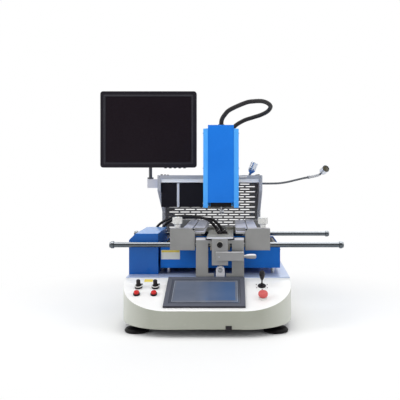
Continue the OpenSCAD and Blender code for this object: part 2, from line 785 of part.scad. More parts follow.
// Head lift: plate with two tabs for the screw and two guide blocks for the rails
guide_half = 14;
guide_h = 30;
guide_drop = [71, 33];
guide_z = [for (drop = guide_drop) portal_top - drop];
module lift_mount() color(grey) placed() difference() {
    union() {
        block([work_x - mount_half, mount_y, mount_z0], [work_x + mount_half, portal_front, portal_top]);
        for (z = [mount_z0, portal_top])
            block([work_x - tab_half, screw_y - tab_ahead, z],
                [work_x + tab_half, mount_y + (z == portal_top ? tab_back : cut), z + tab_t]);
        for (s = [-1, 1], z = guide_z)
            block([work_x + s * rail_x - guide_half, rail_back - rail_t / 2, z],
                [work_x + s * rail_x + guide_half, mount_y + cut, z + guide_h]);
    }
    for (s = [-1, 1])
        block([work_x + s * rail_x - rail_w / 2 - slide_gap, rail_back - rail_t, mount_z0],
            [work_x + s * rail_x + rail_w / 2 + slide_gap, rail_back + slide_gap, portal_top]);
    translate([work_x, screw_y, mount_z0 - cut]) cylinder(r = screw_r + run_fit, h = portal_h);
}

// Head lift: stepper motor over the screw
motor_half = 21;
motor_h = 44;
motor_cut = 5;
module lift_motor() color([0.12, 0.12, 0.13]) placed() translate([work_x, screw_y, motor_z]) {
    linear_extrude(motor_h) polygon([for (q = [0:3])
        let (a = motor_half, b = motor_half - motor_cut, c = cos(90 * q), s = sin(90 * q))
        each [[c * a - s * b, s * a + c * b], [c * b - s * a, s * b + c * a]]]);
}

// Monitor: clamp box on the portal's side with the pole's bore
clamp_w = 41;
clamp_drop = 46;
clamp_z = portal_top - clamp_drop;
clamp_h = 32;
module monitor_bracket() color(grey) placed() difference() {
    block([portal_x0 - clamp_w, pole_y - 17, clamp_z], [portal_x0, pole_y + 18, clamp_z + clamp_h]);
    translate([portal_x0 - clamp_w + 9.5, pole_y, clamp_z + 3]) cylinder(r = pole_r + run_fit, h = clamp_h);
}
pole_x = portal_x0 - clamp_w + 9.5;

// Cables: gland with a hexagon foot and a domed nut
module gland(r, h) {
    cylinder(r = r + 5, h = h * 0.35, $fn = 6);
    rotate_extrude() polygon([[0, 0], [r + 4, 0], [r + 4, h * 0.7], [r + 1.5, h], [0, h]]);
}
module cable_glands() color(black) placed() {
    for (g = gland_at) translate([g[0], g[1], deck_z]) gland(cable_r, gland_h);
    translate([hose_gland[0], hose_gland[1], portal_top]) gland(hose_r, hose_gland_h);
}

// Cables: two leads from the deck over the left arm to the carrier
module carrier_cable(route) {
    color(black) placed() tube(smooth_route(route, 2), cable_r, 10, [0.6, 0.8, 0]);
}
module carrier_cable_1() carrier_cable(cable_route_1);
module carrier_cable_2() carrier_cable(cable_route_2);

// Cables: mains gland on the rear wall, open at its end
mains_bore = 20;
module mains_gland() color(black) placed()
    translate([mains_x, deck_depth, mains_z]) rotate([-90, 0, 0]) difference() {
        union() {
            cylinder(r = mains_r + 7, h = mains_out / 4, $fn = 6);
            rotate_extrude() polygon([[0, 0], [mains_r + 5, 0], [mains_r + 5, mains_out * 2 / 3],
                [mains_r + 2, mains_out], [0, mains_out]]);
        }
        translate([0, 0, mains_out - mains_bore]) cylinder(r = mains_r, h = mains_bore + cut);
    }

// Lamps: goosenecks
module lamp_necks() color(steel) placed() {
    tube(smooth_route(neck_route_1, 2), neck_r, 10, [0, 1, 0.1]);
    tube(smooth_route(neck_route_2, 2), neck_r, 10, [1, 0, 0.1]);
}

// Lamps: chrome cup with a ribbed back, its lens sunk behind the rim, along +Z
cup_back = 7;
cup_wall = 1.5;
lens_in = 3;
rib_w = 2;
module lamp_cup() {
    rotate_extrude() polygon([[0, 0], [cup_back, 0], [lamp_r - 2, cup_back], [lamp_r, cup_back + 3],
        [lamp_r, lamp_l / 2], [lamp_r - 1, lamp_l / 2], [lamp_r - 1, lamp_l / 2 + rib_w],
        [lamp_r, lamp_l / 2 + rib_w], [lamp_r, lamp_l], [lamp_r - cup_wall, lamp_l],
        [lamp_r - cup_wall, lamp_l - lens_in], [0, lamp_l - lens_in]]);
}
// Turns a piece's Z to a direction
module facing(way) {
    rotate([0, acos(way[2] / norm(way)), atan2(way[1], way[0])]) children();
}
module lamp_heads() color([0.80, 0.82, 0.85]) placed() {
    translate([lamp_x, lamp_y + lamp_ahead, lamp_z] - lamp_l * lamp_way) facing(lamp_way) lamp_cup();
    translate([short_lamp_x, short_lamp_y, short_lamp_z]) facing(short_lamp_way) lamp_cup();
}

// Head: folded housing, open below and between its two bevelled front wings
module head_plan(inset) {
    side = head_w / 2 - inset;
    fold = head_y + inset / 2;
    face = cover_w / 2;
    front = head_y - cover_d + inset;
    polygon([[-side, head_back - inset], [-side, fold], [-face, front], [face, front], [side, fold],
        [side, head_back - inset]]);
}
module head_housing() color(blue) placed() difference() {
    translate([work_x, 0, head_z]) linear_extrude(head_h) head_plan(0);
    translate([work_x, 0, head_z - cut]) linear_extrude(head_h - sheet + cut) head_plan(sheet);
    block([work_x - cover_w / 2 - slide_gap, head_y - cover_d - cut, head_z - cut],
        [work_x + cover_w / 2 + slide_gap, head_y - cover_d + 2 * sheet, head_top + cut]);
}

// Head: cover plate with two flanges behind its face and a top that laps over the housing
cover_flange = 10;
module head_cover() color(blue) placed() translate([work_x, head_y - cover_d, cover_z]) {
    translate([-cover_w / 2, 0, 0]) cube([cover_w, sheet, cover_h]);
    for (s = [-1, 1]) translate([s * (cover_w - sheet) / 2 - sheet / 2, 0, 0])
        cube([sheet, cover_flange, head_top - sheet - slide_gap - cover_z]);
    translate([-cover_w / 2, 0, head_top + slide_gap - cover_z])
        cube([cover_w, cover_d + cover_flange, cover_top - head_top - slide_gap]);
}

// Head: carriage plate with its rails and the screw's nut
nut_half = 13;
nut_wall = 3;
carriage_in = 8;
carriage_low = 2;
carriage_over = 4;
module head_carriage() color(steel) placed() difference() {
    union() {
        block([work_x - head_w / 2 + carriage_in, head_back, head_z + carriage_low],
            [work_x + head_w / 2 - carriage_in, head_back + carriage_t, head_top + carriage_over]);
        for (s = [-1, 1])
            block([work_x + s * rail_x - rail_w / 2, head_back + carriage_t - cut, head_z + carriage_low],
                [work_x + s * rail_x + rail_w / 2, rail_back, head_top + carriage_over]);
        block([work_x - nut_half, head_back + carriage_t - cut, nut_z],
            [work_x + nut_half, screw_y + screw_r + nut_wall, nut_z + nut_h]);
    }
    translate([work_x, screw_y, nut_z - cut]) cylinder(r = screw_r + run_fit, h = nut_h + 2 * cut);
}

// Head: hot-air heater with flanges to the housing's rear wall
core_r = 30;
core_up = 40;
core_z = head_z + core_up;
core_h = 150;
fin_low = 20;
fin_high = 34;
fin_half = 20;
fin_t = 6;
module heater_core() color([0.75, 0.73, 0.70]) placed() difference() {
    union() {
        translate([work_x, nozzle_y, core_z]) rotate_extrude() polygon([[0, 0], [core_r - 6, 0], [core_r, 8],
            [core_r, core_h - 14], [core_r - 10, core_h], [0, core_h]]);
        for (z = [core_z + fin_low, core_z + core_h - fin_high])
            block([work_x - fin_half, nozzle_y, z], [work_x + fin_half, head_back - sheet, z + fin_t]);
    }
    translate([work_x, nozzle_y, core_z - cut]) cylinder(r = pick_r + run_fit, h = core_h + 2 * cut);
}

// Head: square nozzle under the heater
adapter_half = 34;
adapter_up = 2;
adapter_h = 20;
adapter_mouth = 20;
module nozzle_adapter() color(black) placed() difference() {
    union() {
        block([work_x - adapter_half, nozzle_y - adapter_half, head_z + adapter_up],
            [work_x + adapter_half, nozzle_y + adapter_half, head_z + adapter_up + adapter_h]);
        translate([work_x, nozzle_y, head_z + adapter_h])
            cylinder(r = core_r - 8, h = core_z - head_z - adapter_h);
    }
    block([work_x - adapter_mouth, nozzle_y - adapter_mouth, head_z],
        [work_x + adapter_mouth, nozzle_y + adapter_mouth, head_z + adapter_h - 4]);
    translate([work_x, nozzle_y, head_z]) cylinder(r = pick_r + 3, h = core_z - head_z + cut);
}

// Head: hose fitting on top and air elbow at the right
elbow_drop = 159;
elbow_z = head_top - elbow_drop;
elbow_r = 3;
elbow_l = 26;
elbow_nut = 8;
module head_fittings() color(steel) placed() {
    translate([work_x, nozzle_y, head_top]) cylinder(r = hose_r + 6, h = cover_top - head_top, $fn = 6);
    translate([work_x, nozzle_y, cover_top]) rotate_extrude()
        polygon([[0, 0], [hose_r + 4, 0], [hose_r + 4, fitting_h * 0.6], [hose_r + 1.5, fitting_h],
            [0, fitting_h]]);
    translate([work_x + head_w / 2, head_y + 12, elbow_z]) {
        rod_along_x(elbow_r + 2, elbow_nut);
        rod_along_x(elbow_r, elbow_l);
    }
}

// Head: hose from the fitting back to the portal
module head_hose() color(black) placed() tube(smooth_route(hose_route, 2), hose_r, 12, [0.3, -0.75, 0.6]);

// Head: suction pick-up rod that slides in the heater
pick_top = core_z + core_h + 20;
module pickup_rod() color(steel) placed() translate([work_x, nozzle_y, 0]) {
    translate([0, 0, tip_z + 5]) cylinder(r = pick_r, h = pick_top - tip_z - 5);
    translate([0, 0, tip_z]) cylinder(r = pick_r + 1.2, h = 6);
    translate([0, 0, pick_top - cut]) cylinder(r = pick_r + 5, h = 6);
}

// Head lift: trapezoidal screw
module lift_screw() color(steel) placed() translate([work_x, screw_y, mount_z0 - screw_tail]) {
    cylinder(r = screw_r, h = motor_z - mount_z0 + screw_tail - slide_gap);
    cylinder(r = screw_r + 3, h = screw_tail - slide_gap);
}

// Optics: camera box hung from the beam by tee keys, with a flat strip on its front
strip_in = 56;
strip_w = 9;
strip_t = 1;
key_in = 12;
key_l = 30;
key_sink = 0.5;
optics_top = optics_z + optics_h;
key_up = beam_z + tee_lip + slide_gap - optics_top;
module optics_box() color(black) placed() {
    difference() {
        block([optics_x, optics_y, optics_z], [optics_x + optics_w, optics_y + optics_d, optics_top]);
        block([optics_x + sheet, optics_y + sheet, optics_z + sheet],
            [optics_x + optics_w - sheet, optics_y + optics_d - sheet, optics_top - sheet]);
    }
    block([optics_x + strip_in, optics_y - strip_t, optics_z],
        [optics_x + strip_in + strip_w, optics_y, optics_top]);
    for (dx = [key_in, optics_w - key_in - key_l])
        translate([optics_x + dx, beam_y + beam_d / 2, optics_top - key_sink]) {
            translate([0, -tee_neck / 2, 0]) cube([key_l, tee_neck, key_up + 2 * key_sink]);
            translate([0, -tee_w / 2, key_up + key_sink]) cube([key_l, tee_w, tee_t]);
        }
}

// Clamps: front and rear blocks of one side, drawn for the right side
module clamp_blocks() {
    difference() {
        for (y = rod_y)
            block([block_in, y - block_d / 2, block_z], [block_in + block_w, y + block_d / 2, clamp_top]);
        for (y = rod_y) translate([block_in - cut, y, rod_z]) rod_along_x(rod_r + run_fit, block_w + 2 * cut);
        translate([knob_x, rod_y[0], clamp_top - 14]) cylinder(r = 4 + run_fit, h = 20);
        arm_slot();
    }
}

// Clamps: slot along an arm and across the blocks' top edges
slot_w = 3;
slot_deep = 5;
slot_at = 82;
module arm_slot() {
    block([slot_at - slot_w / 2, rod_y[0] - block_d, clamp_top - slot_deep],
        [slot_at + slot_w / 2, rod_y[1] + block_d, clamp_top + cut]);
}

// Clamps: arm with its slot and the board groove at its inner edge
groove = 3;
module clamp_arm() {
    difference() {
        block([arm_in, arm_y0, clamp_top - arm_t], [arm_in + arm_w, arm_y1, clamp_top]);
        arm_slot();
        translate([arm_in, arm_y0 - cut, clamp_top - arm_t / 2]) rotate([0, 45, 0])
            translate([-groove, 0, -groove]) cube([2 * groove, arm_y1 - arm_y0 + 2 * cut, 2 * groove]);
    }
    block([arm_in, arm_y0 - block_d + 4, clamp_top - arm_t], [block_in, arm_y0, clamp_top - arm_t + 6]);
    block([arm_in, arm_y1, clamp_top - arm_t], [block_in, arm_y1 + block_d - 4, clamp_top - arm_t + 6]);
}

// Clamps: fluted knob on a neck with a stud into its block
flutes = 20;
hub_r = 9;
module clamp_knob() {
    translate([knob_x, rod_y[0], clamp_top + slide_gap]) {
        difference() {
            rotate_extrude() polygon([[0, 0], [hub_r, 0], [hub_r, knob_neck - 4], [knob_r - 2, knob_neck - 2],
                [knob_r, knob_neck], [knob_r, knob_h - 1.5], [knob_r - 1.5, knob_h], [0, knob_h]]);
            for (k = [0:flutes - 1]) rotate(360 * k / flutes)
                translate([knob_r + 0.6, 0, knob_neck - 3]) cylinder(r = 1.6, h = knob_h, $fn = 16);
        }
        translate([0, 0, -12]) cylinder(r = 4, h = 13);
    }
}
module on_side(s) {
    placed() translate([work_x, 0, 0]) mirror([s < 0 ? 1 : 0, 0, 0]) children();
}
module left_clamp_blocks() color(grey) on_side(-1) clamp_blocks();
module left_arm() color(grey) on_side(-1) clamp_arm();
module left_knob() color(steel) on_side(-1) clamp_knob();
module right_clamp_blocks() color(grey) on_side(1) clamp_blocks();
module right_arm() color(grey) on_side(1) clamp_arm();
module right_knob() color(steel) on_side(1) clamp_knob();

// Carrier: lift block, plate over the bracket and cable plugs
lever_pin_x = work_x - 2;
boss_drop = 17;
boss_r = 9.5;
boss_h = 5;
nozzle_bore = nozzle_side - 12;
nozzle_neck = nozzle_side - 4;
module nozzle_carrier() color(grey) placed() difference() {
    union() {
        block([work_x - lift_half, lift_y, lift_z], [work_x + lift_half, lift_y + lift_t, plate_z + plate_t]);
        block([work_x - plate_half, lift_y, plate_z], [work_x + plate_half, plate_back, plate_z + plate_t]);
        translate([work_x, lift_y, plate_z - boss_drop]) rotate([90, 0, 0]) cylinder(r = boss_r, h = boss_h);
        for (p = plug_at) translate([p[0], p[1], plate_z + plate_t]) {
            translate([0, 0, -cut]) cylinder(r = plug_r + 1, h = 2 * plug_foot);
            translate([0, 0, plug_foot]) rotate([0, -plug_tilt, 0]) cylinder(r = plug_r, h = plug_h);
        }
    }
    translate([lever_pin_x, lift_y - cut, lever_z]) rod_along_y(lever_pin_r + run_fit, lever_pin_l + 2 * cut);
    translate([work_x, nozzle_y, plate_z - cut])
        linear_extrude(plate_t + 2 * cut) square(nozzle_neck + 0.2, center = true);
}

// Carrier: lower hot-air nozzle, open through its middle
nozzle_low = 26;
nozzle_up = 13;
module lower_nozzle() color(steel) placed() translate([work_x, nozzle_y, 0]) {
    difference() {
        union() {
            translate([0, 0, plate_z + plate_t]) linear_extrude(nozzle_up) square(nozzle_side, center = true);
            translate([0, 0, plate_z - nozzle_low])
                linear_extrude(nozzle_low + plate_t) square(nozzle_neck, center = true);
        }
        translate([0, 0, plate_z - nozzle_low - cut])
            linear_extrude(nozzle_low + nozzle_up + plate_t + 2 * cut) square(nozzle_bore, center = true);
    }
}

// Carrier: lever with its pivot pin and turned grip
grip_l = 38;
module lift_lever() color(steel) placed() translate([lever_pin_x, lever_y, lever_z]) {
    translate([-10, -lever_t, -lever_h / 2]) cube([lever_l, lever_t, lever_h]);
    rod_along_y(lever_pin_r, lever_pin_l);
    translate([lever_l - 11, -lever_t / 2, 0]) rotate([0, 90, 0]) rotate_extrude()
        polygon([[0, 0], [4, 0], [4, 6], [6, 8], [7.5, 20], [7, grip_l - 3], [4, grip_l], [0, grip_l]]);
}

// Panel: joystick's gimbal, a zone of a sphere with its own cup
cup_r = 6;
stick_dip = 1;
zone_half = 4;
module beyond_zone() {
    translate([-2 * ball_r, -2 * ball_r, zone_half]) cube([4 * ball_r, 4 * ball_r, 2 * ball_r]);
}
module joystick_boot() color(black) placed() on_panel(stick_x, stick_back)
    translate([0, 0, -stick_dip]) difference() {
        sphere(r = ball_r);
        sphere(r = cup_r);
        beyond_zone();
        mirror([0, 0, 1]) beyond_zone();
    }

// Panel: joystick with its ball, a rubber skirt and a teardrop grip
stick_r = 2;
skirt_z = 7;
skirt_r = 5;
grip_z = 20;
grip_r = 8.5;
module joystick() color(black) placed() on_panel(stick_x, stick_back) translate([0, 0, -stick_dip]) {
    difference() {
        sphere(r = cup_r - slide_gap);
        mirror([0, 0, 1]) beyond_zone();
    }
    rotate_extrude() polygon([[0, 0], [stick_r, 0], [stick_r, skirt_z], [skirt_r, skirt_z],
        [skirt_r - 1, skirt_z + 3], [stick_r, skirt_z + 6], [stick_r, grip_z], [grip_r - 3, grip_z + 7],
        [grip_r - 1, grip_z + 13], [grip_r, grip_z + 19], [grip_r - 0.5, grip_z + 25],
        [grip_r - 2.5, grip_z + 30], [grip_r - 5.5, grip_z + 32], [0, grip_z + 32]]);
}

// Panel: stop button with a mushroom head
stop_travel = 4;
stop_below = 6;
stop_low = collar_h + stop_travel + 1;
stop_h = 11;
module estop_button() color(red) placed() on_panel(stick_x, stop_back) rotate_extrude()
    polygon([[0, -stop_below], [stop_stem, -stop_below], [stop_stem, stop_low], [stop_r, stop_low],
        [stop_r, stop_low + stop_h - 4], [stop_r - 2, stop_low + stop_h - 1], [0, stop_low + stop_h]]);

// Panel: red push buttons in their collars
module red_button(s) {
    color(red) placed() on_panel(dial_x + s * dial_half, button_back) rotate_extrude()
        polygon([[0, -4], [button_r, -4], [button_r, collar_h + 5], [button_r - 1, collar_h + 6],
            [0, collar_h + 6]]);
}
module red_button_1() red_button(-1);
module red_button_2() red_button(1);

// Panel: dials with a lock lever at the side
dial_r = 6;
module dial_knob(s) {
    color(black) placed() on_panel(dial_x + s * dial_half, dial_back) {
        translate([0, 0, -4]) cylinder(r = dial_shaft, h = 12);
        translate([0, 0, collar_h + 1 + slide_gap]) cylinder(r = dial_r + 2, h = 3);
        translate([0, 0, collar_h + 4]) rotate_extrude()
            polygon([[0, 0], [dial_r, 0], [dial_r, 14], [dial_r - 1.5, 16], [0, 16]]);
        translate([0, -1.5, collar_h + 5]) cube([13, 3, 2.5]);
    }
}
module dial_knob_1() dial_knob(-1);
module dial_knob_2() dial_knob(1);

// Monitor: pole with a tilt head
tilt_half = 14;
tilt_pin_r = 4;
module monitor_pole() color(steel) placed() difference() {
    union() {
        translate([pole_x, pole_y, clamp_z + 3 + slide_gap]) cylinder(r = pole_r, h = tilt_z - clamp_z);
        translate([pole_x, pole_y, clamp_z + clamp_h + slide_gap]) cylinder(r = pole_r + 5, h = 6);
        block([pole_x - tilt_half, tilt_y, tilt_z - 8], [pole_x + tilt_half, pole_y + 9, tilt_z + 8]);
        translate([pole_x - tilt_half, tilt_y, tilt_z]) rod_along_x(tilt_pin_r + 5, 2 * tilt_half);
    }
    translate([pole_x - tilt_half - cut, tilt_y, tilt_z])
        rod_along_x(tilt_pin_r + run_fit, 2 * tilt_half + 2 * cut);
}

// Monitor: rounded frame with a stepped rim, rear bulge with vents, tilt ears and keys
screen_w = monitor_w - 2 * monitor_rim;
screen_h = monitor_h - 2 * monitor_rim;
screen_in = 3;
screen_t = 6;
rim_step_w = 8;
rim_step = 1.5;
monitor_r = 10;
frame_t = 18;
bulge_in = 34;
bulge_r = 24;
vents = 13;
vent_pitch = 14;
vent_w = 5;
vent_h = 40;
vent_deep = 2;
ear_t = 6;
ear_half = 12;
keys = 5;
key_pitch = 17;
key_first = 60;
key_r = 5;
key_h = 2.5;
monitor_mid = monitor_z + monitor_h / 2;
module rounded_plate(w, h, r) {
    square([w - 2 * r, h], center = true);
    square([w, h - 2 * r], center = true);
    for (sx = [-1, 1], sz = [-1, 1]) translate([sx * (w / 2 - r), sz * (h / 2 - r)]) circle(r = r);
}
module monitor_slab(w, h, r, y0, y1) {
    translate([monitor_x, y1, monitor_mid]) rotate([90, 0, 0]) linear_extrude(y1 - y0) rounded_plate(w, h, r);
}
module screen_recess(past, y1) {
    block([monitor_x - screen_w / 2 - past, monitor_y - cut, monitor_mid - screen_h / 2 - past],
        [monitor_x + screen_w / 2 + past, y1, monitor_mid + screen_h / 2 + past]);
}
module monitor_housing() color(black) placed() {
    difference() {
        union() {
            monitor_slab(monitor_w, monitor_h, monitor_r, monitor_y, monitor_y + frame_t);
            monitor_slab(monitor_w - 2 * bulge_in, monitor_h - 2 * bulge_in, bulge_r,
                monitor_y + frame_t - cut, monitor_y + monitor_t);
        }
        screen_recess(0, monitor_y + screen_in + screen_t);
        screen_recess(rim_step_w, monitor_y + rim_step);
        for (k = [0:vents - 1])
            translate([monitor_x + (k - (vents - 1) / 2) * vent_pitch - vent_w / 2,
                monitor_y + monitor_t - vent_deep, monitor_z + monitor_h - bulge_in - bulge_r - vent_h])
                cube([vent_w, vent_deep + cut, vent_h]);
    }
    for (s = [-1, 1]) translate([pole_x + s * (tilt_half + slide_gap + ear_t / 2), 0, tilt_z])
        block([-ear_t / 2, monitor_y + monitor_t - cut, -ear_half], [ear_t / 2, tilt_y + 8, ear_half]);
    translate([pole_x - tilt_half - ear_t, tilt_y, tilt_z]) rod_along_x(tilt_pin_r, 2 * (tilt_half + ear_t));
    for (k = [0:keys - 1])
        translate([monitor_x + key_first + k * key_pitch, monitor_y + frame_t / 2, monitor_z - key_h])
            cylinder(r = key_r, h = key_h + cut);
}

// Monitor: dark glass
module monitor_screen() color([0.05, 0.05, 0.07]) placed()
    block([monitor_x - screen_w / 2 + slide_gap, monitor_y + screen_in, monitor_z + monitor_rim + slide_gap],
        [monitor_x + screen_w / 2 - slide_gap, monitor_y + screen_in + screen_t,
            monitor_z + monitor_h - monitor_rim - slide_gap]);

base_shell();
base_pan();
deck_plate();
levelling_feet();
hmi_bezel();
hmi_screen();
usb_cap();
panel_collars();
side_cabinet();
preheater_tray();
preheater_posts();
heater_tiles();
preheater_grid();
front_bracket();
guide_rods();
rod_holders();
rod_end_caps();
stop_lug();
gantry_shell();
gantry_trim();
gantry_back_panel();
optics_beam();
lift_mount();
lift_motor();
monitor_bracket();
cable_glands();
carrier_cable_1();
carrier_cable_2();
mains_gland();
lamp_necks();
lamp_heads();
head_housing();
head_cover();
head_carriage();
heater_core();
nozzle_adapter();
head_fittings();
head_hose();
pickup_rod();
lift_screw();
optics_box();
left_clamp_blocks();
left_arm();
left_knob();
right_clamp_blocks();
right_arm();
right_knob();
nozzle_carrier();
lower_nozzle();
lift_lever();
joystick_boot();
joystick();
estop_button();
red_button_1();
red_button_2();
dial_knob_1();
dial_knob_2();
monitor_pole();
monitor_housing();
monitor_screen();
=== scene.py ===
import math

import bmesh
import bpy
import numpy as np
from mathutils import Matrix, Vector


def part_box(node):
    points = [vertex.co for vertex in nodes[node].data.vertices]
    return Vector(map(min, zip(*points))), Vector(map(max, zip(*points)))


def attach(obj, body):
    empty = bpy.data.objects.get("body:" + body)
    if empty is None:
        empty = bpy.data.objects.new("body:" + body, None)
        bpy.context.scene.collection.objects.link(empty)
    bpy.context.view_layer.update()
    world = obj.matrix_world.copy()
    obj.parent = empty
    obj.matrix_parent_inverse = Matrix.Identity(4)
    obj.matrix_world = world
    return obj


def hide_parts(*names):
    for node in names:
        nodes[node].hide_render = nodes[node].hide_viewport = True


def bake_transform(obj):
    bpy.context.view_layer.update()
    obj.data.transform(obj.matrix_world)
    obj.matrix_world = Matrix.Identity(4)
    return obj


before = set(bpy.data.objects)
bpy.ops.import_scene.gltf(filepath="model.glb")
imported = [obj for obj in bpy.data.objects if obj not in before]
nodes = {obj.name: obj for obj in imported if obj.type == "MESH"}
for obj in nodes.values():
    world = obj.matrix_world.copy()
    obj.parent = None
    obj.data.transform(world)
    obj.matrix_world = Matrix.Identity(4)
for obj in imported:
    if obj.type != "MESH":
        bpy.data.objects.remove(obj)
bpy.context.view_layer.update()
print("frame loaded:", len(nodes), "nodes")

# the design's zero is the deck's front edge, in the middle of the base, on the floor
deckLow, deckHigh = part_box("deck_plate")
deckZero = np.array([(deckLow[0] + deckHigh[0]) / 2, deckLow[1], 0.0])
millimetre = 0.001


def toRow(points):
    # millimetres from the design's zero become metres in the frame
    return np.asarray(points, float) * millimetre + deckZero


def toDesign(points):
    # metres in the frame become millimetres from the design's zero
    return (np.asarray(points, float) - deckZero) / millimetre


# camera of the photograph: level, straight at the front, with a shifted frame
view = {
    "place": (72, -1734, 433),
    "focalPixels": 580,
    "framePixels": 400,
    "sensor": 36,
    "middleRight": 232,
    "middleDown": 178,
}


def makeCamera():
    camera = bpy.data.cameras.new("photoCamera")
    camera.sensor_width = view["sensor"]
    camera.sensor_fit = "HORIZONTAL"
    camera.lens = view["sensor"] * view["focalPixels"] / view["framePixels"]
    half = view["framePixels"] / 2
    camera.shift_x = (half - view["middleRight"]) / view["framePixels"]
    camera.shift_y = (view["middleDown"] - half) / view["framePixels"]
    stand = bpy.data.objects.new("photoCamera", camera)
    stand.location = toRow(view["place"])
    stand.rotation_euler = (math.pi / 2, 0, 0)
    bpy.context.scene.collection.objects.link(stand)
    bpy.context.scene.camera = stand


makeCamera()
bpy.context.scene.view_settings.view_transform = "Standard"


# surfaces and meshes

def gridFaces(rows, cols, wrapCols=True):
    # four corners of every cell of a rows by cols grid, where the columns may close into a ring
    i, j = np.meshgrid(np.arange(rows - 1), np.arange(cols if wrapCols else cols - 1), indexing="ij")
    k = (j + 1) % cols
    return np.stack([i * cols + j, i * cols + k, (i + 1) * cols + k, (i + 1) * cols + j], -1).reshape(-1, 4)


def ringPart(verts):
    # a stack of closed rings, joined by cells, with a flat lid on the first and on the last
    rows, cols = verts.shape[:2]
    first = np.arange(cols)[::-1]
    last = np.arange(cols) + (rows - 1) * cols
    return verts.reshape(-1, 3), gridFaces(rows, cols).tolist() + [first.tolist(), last.tolist()]


def unit(vectors):
    return vectors / np.linalg.norm(vectors, axis=-1, keepdims=True)


def basis(normal, across=(1.0, 0.0, 0.0)):
    # three axes as columns: two sides of the normal, then the normal itself
    z = unit(np.asarray(normal, float))
    x = np.asarray(across, float)
    if abs(x @ z) > 0.9:
        x = np.array([0.0, 1.0, 0.0])
    x = unit(x - (x @ z) * z)
    return np.stack([x, np.cross(z, x), z], 1)


def placePart(part, origin=(0, 0, 0), axes=np.eye(3)):
    # local millimetres turned by the axes and moved to an origin in the design's millimetres
    return toRow(part[0] @ axes.T + np.asarray(origin, float)), part[1]


def turned(profile, cols=48, ripple=0.0, ripples=1, between=(0.0, 0.0)):
    # every profile point (radius, height) is carried round the axis, and inside a band of
    # heights the radius is cut back by a cosine, which leaves flutes
    profile = np.asarray(profile, float)
    angle = np.linspace(0, 2 * np.pi, cols, endpoint=False)
    inBand = (profile[:, 1] >= between[0]) & (profile[:, 1] <= between[1])
    cutBack = ripple * inBand[:, None] * (0.5 - 0.5 * np.cos(ripples * angle))
    radius = profile[:, :1] - cutBack
    height = np.broadcast_to(profile[:, 1:], radius.shape)
    return ringPart(np.stack([radius * np.cos(angle), radius * np.sin(angle), height], -1))


def roundedOutline(width, length, corner, steps=6):
    # a rectangle whose four corners are quarter circles, as one closed ring of points
    turn = np.linspace(0, np.pi / 2, steps)
    middles = np.array([[1, 1], [-1, 1], [-1, -1], [1, -1]]) * [width / 2 - corner, length / 2 - corner]
    angle = (np.arange(4) * np.pi / 2)[:, None] + turn
    arcs = corner * np.stack([np.cos(angle), np.sin(angle)], -1)
    return (middles[:, None, :] + arcs).reshape(-1, 2)


def roundedSlab(width, length, height, corner, edge, steps=4):
    # the rounded outline is stacked up, drawn in at the top along a quarter circle of the edge radius
    turn = np.linspace(0, np.pi / 2, steps)
    drawIn = np.concatenate([[0], edge * (1 - np.cos(turn))])
    level = np.concatenate([[0], height - edge + edge * np.sin(turn)])
    outline = roundedOutline(width, length, corner)
    shrink = 1 - 2 * drawIn[:, None, None] / np.array([width, length])
    flat = outline[None] * shrink
    return ringPart(np.concatenate([flat, np.broadcast_to(level[:, None, None], flat.shape[:2] + (1,))], -1))


def socketScrew(radius, height, cols=24):
    # a drum whose top rings go from the round edge to a hexagon and down its six walls
    angle = np.linspace(0, 2 * np.pi, cols, endpoint=False)
    hexagon = 0.5 * radius / np.cos((angle % (np.pi / 3)) - np.pi / 6)
    edge = np.full(cols, radius)
    rings = [(edge, 0), (edge, 0.85 * height), (0.88 * edge, height), (hexagon, height), (hexagon, 0.45 * height)]
    r = np.stack([ring for ring, _ in rings])
    z = np.array([level for _, level in rings])[:, None] + 0 * r
    return ringPart(np.stack([r * np.cos(angle), r * np.sin(angle), z], -1))


def domeScrew(radius, height, cols=28):
    # a quarter ellipse turned round the axis, with a small hexagon sunk in its top
    turn = np.linspace(0, np.pi / 2.6, 7)
    angle = np.linspace(0, 2 * np.pi, cols, endpoint=False)
    dome = radius * np.cos(turn)[:, None] + 0 * angle
    level = height * np.sin(turn)
    hexagon = 0.36 * radius / np.cos((angle % (np.pi / 3)) - np.pi / 6)
    r = np.vstack([dome, hexagon, hexagon])
    z = np.concatenate([level, [level[-1]], [0.4 * height]])[:, None] + 0 * r
    return ringPart(np.stack([r * np.cos(angle), r * np.sin(angle), z], -1))


def buttonScrew(radius, height):
    # a quarter ellipse turned round the axis
    turn = np.linspace(0, np.pi / 2 - 0.04, 9)
    return turned(np.column_stack([radius * np.cos(turn), height * np.sin(turn)]), 32)


def smoothRoute(points, steps):
    # each stretch is the cubic that passes both its points and aims along their neighbours
    p = np.vstack([points[:1], points, points[-1:]])
    a, b, c, d = (q[:, None, :] for q in (p[:-3], p[1:-2], p[2:-1], p[3:]))
    t = (np.arange(steps) / steps)[None, :, None]
    curve = 0.5 * (2 * b + (c - a) * t + (2 * a - 5 * b + 4 * c - d) * t ** 2 + (3 * b - a - 3 * c + d) * t ** 3)
    return np.vstack([curve.reshape(-1, 3), points[-1:]])


def evenPath(curve, count):
    # the same curve with its points at equal steps of length
    along = np.concatenate([[0], np.cumsum(np.linalg.norm(np.diff(curve, axis=0), axis=1))])
    at = np.linspace(0, along[-1], count)
    return np.stack([np.interp(at, along, curve[:, k]) for k in range(3)], 1), at


def tubePart(path, along, radius, rib, pitch, sides, across):
    # a ring round every path point, whose radius swells with a helix of the given pitch
    heading = unit(np.gradient(path, axis=0))
    sideA = unit(np.cross(heading, np.asarray(across, float)))
    sideB = np.cross(heading, sideA)
    angle = np.linspace(0, 2 * np.pi, sides, endpoint=False)
    r = radius - rib + rib * np.cos(2 * np.pi * along[:, None] / pitch - angle)
    ring = np.cos(angle)[None, :, None] * sideA[:, None, :] + np.sin(angle)[None, :, None] * sideB[:, None, :]
    return ringPart(path[:, None, :] + r[..., None] * ring)


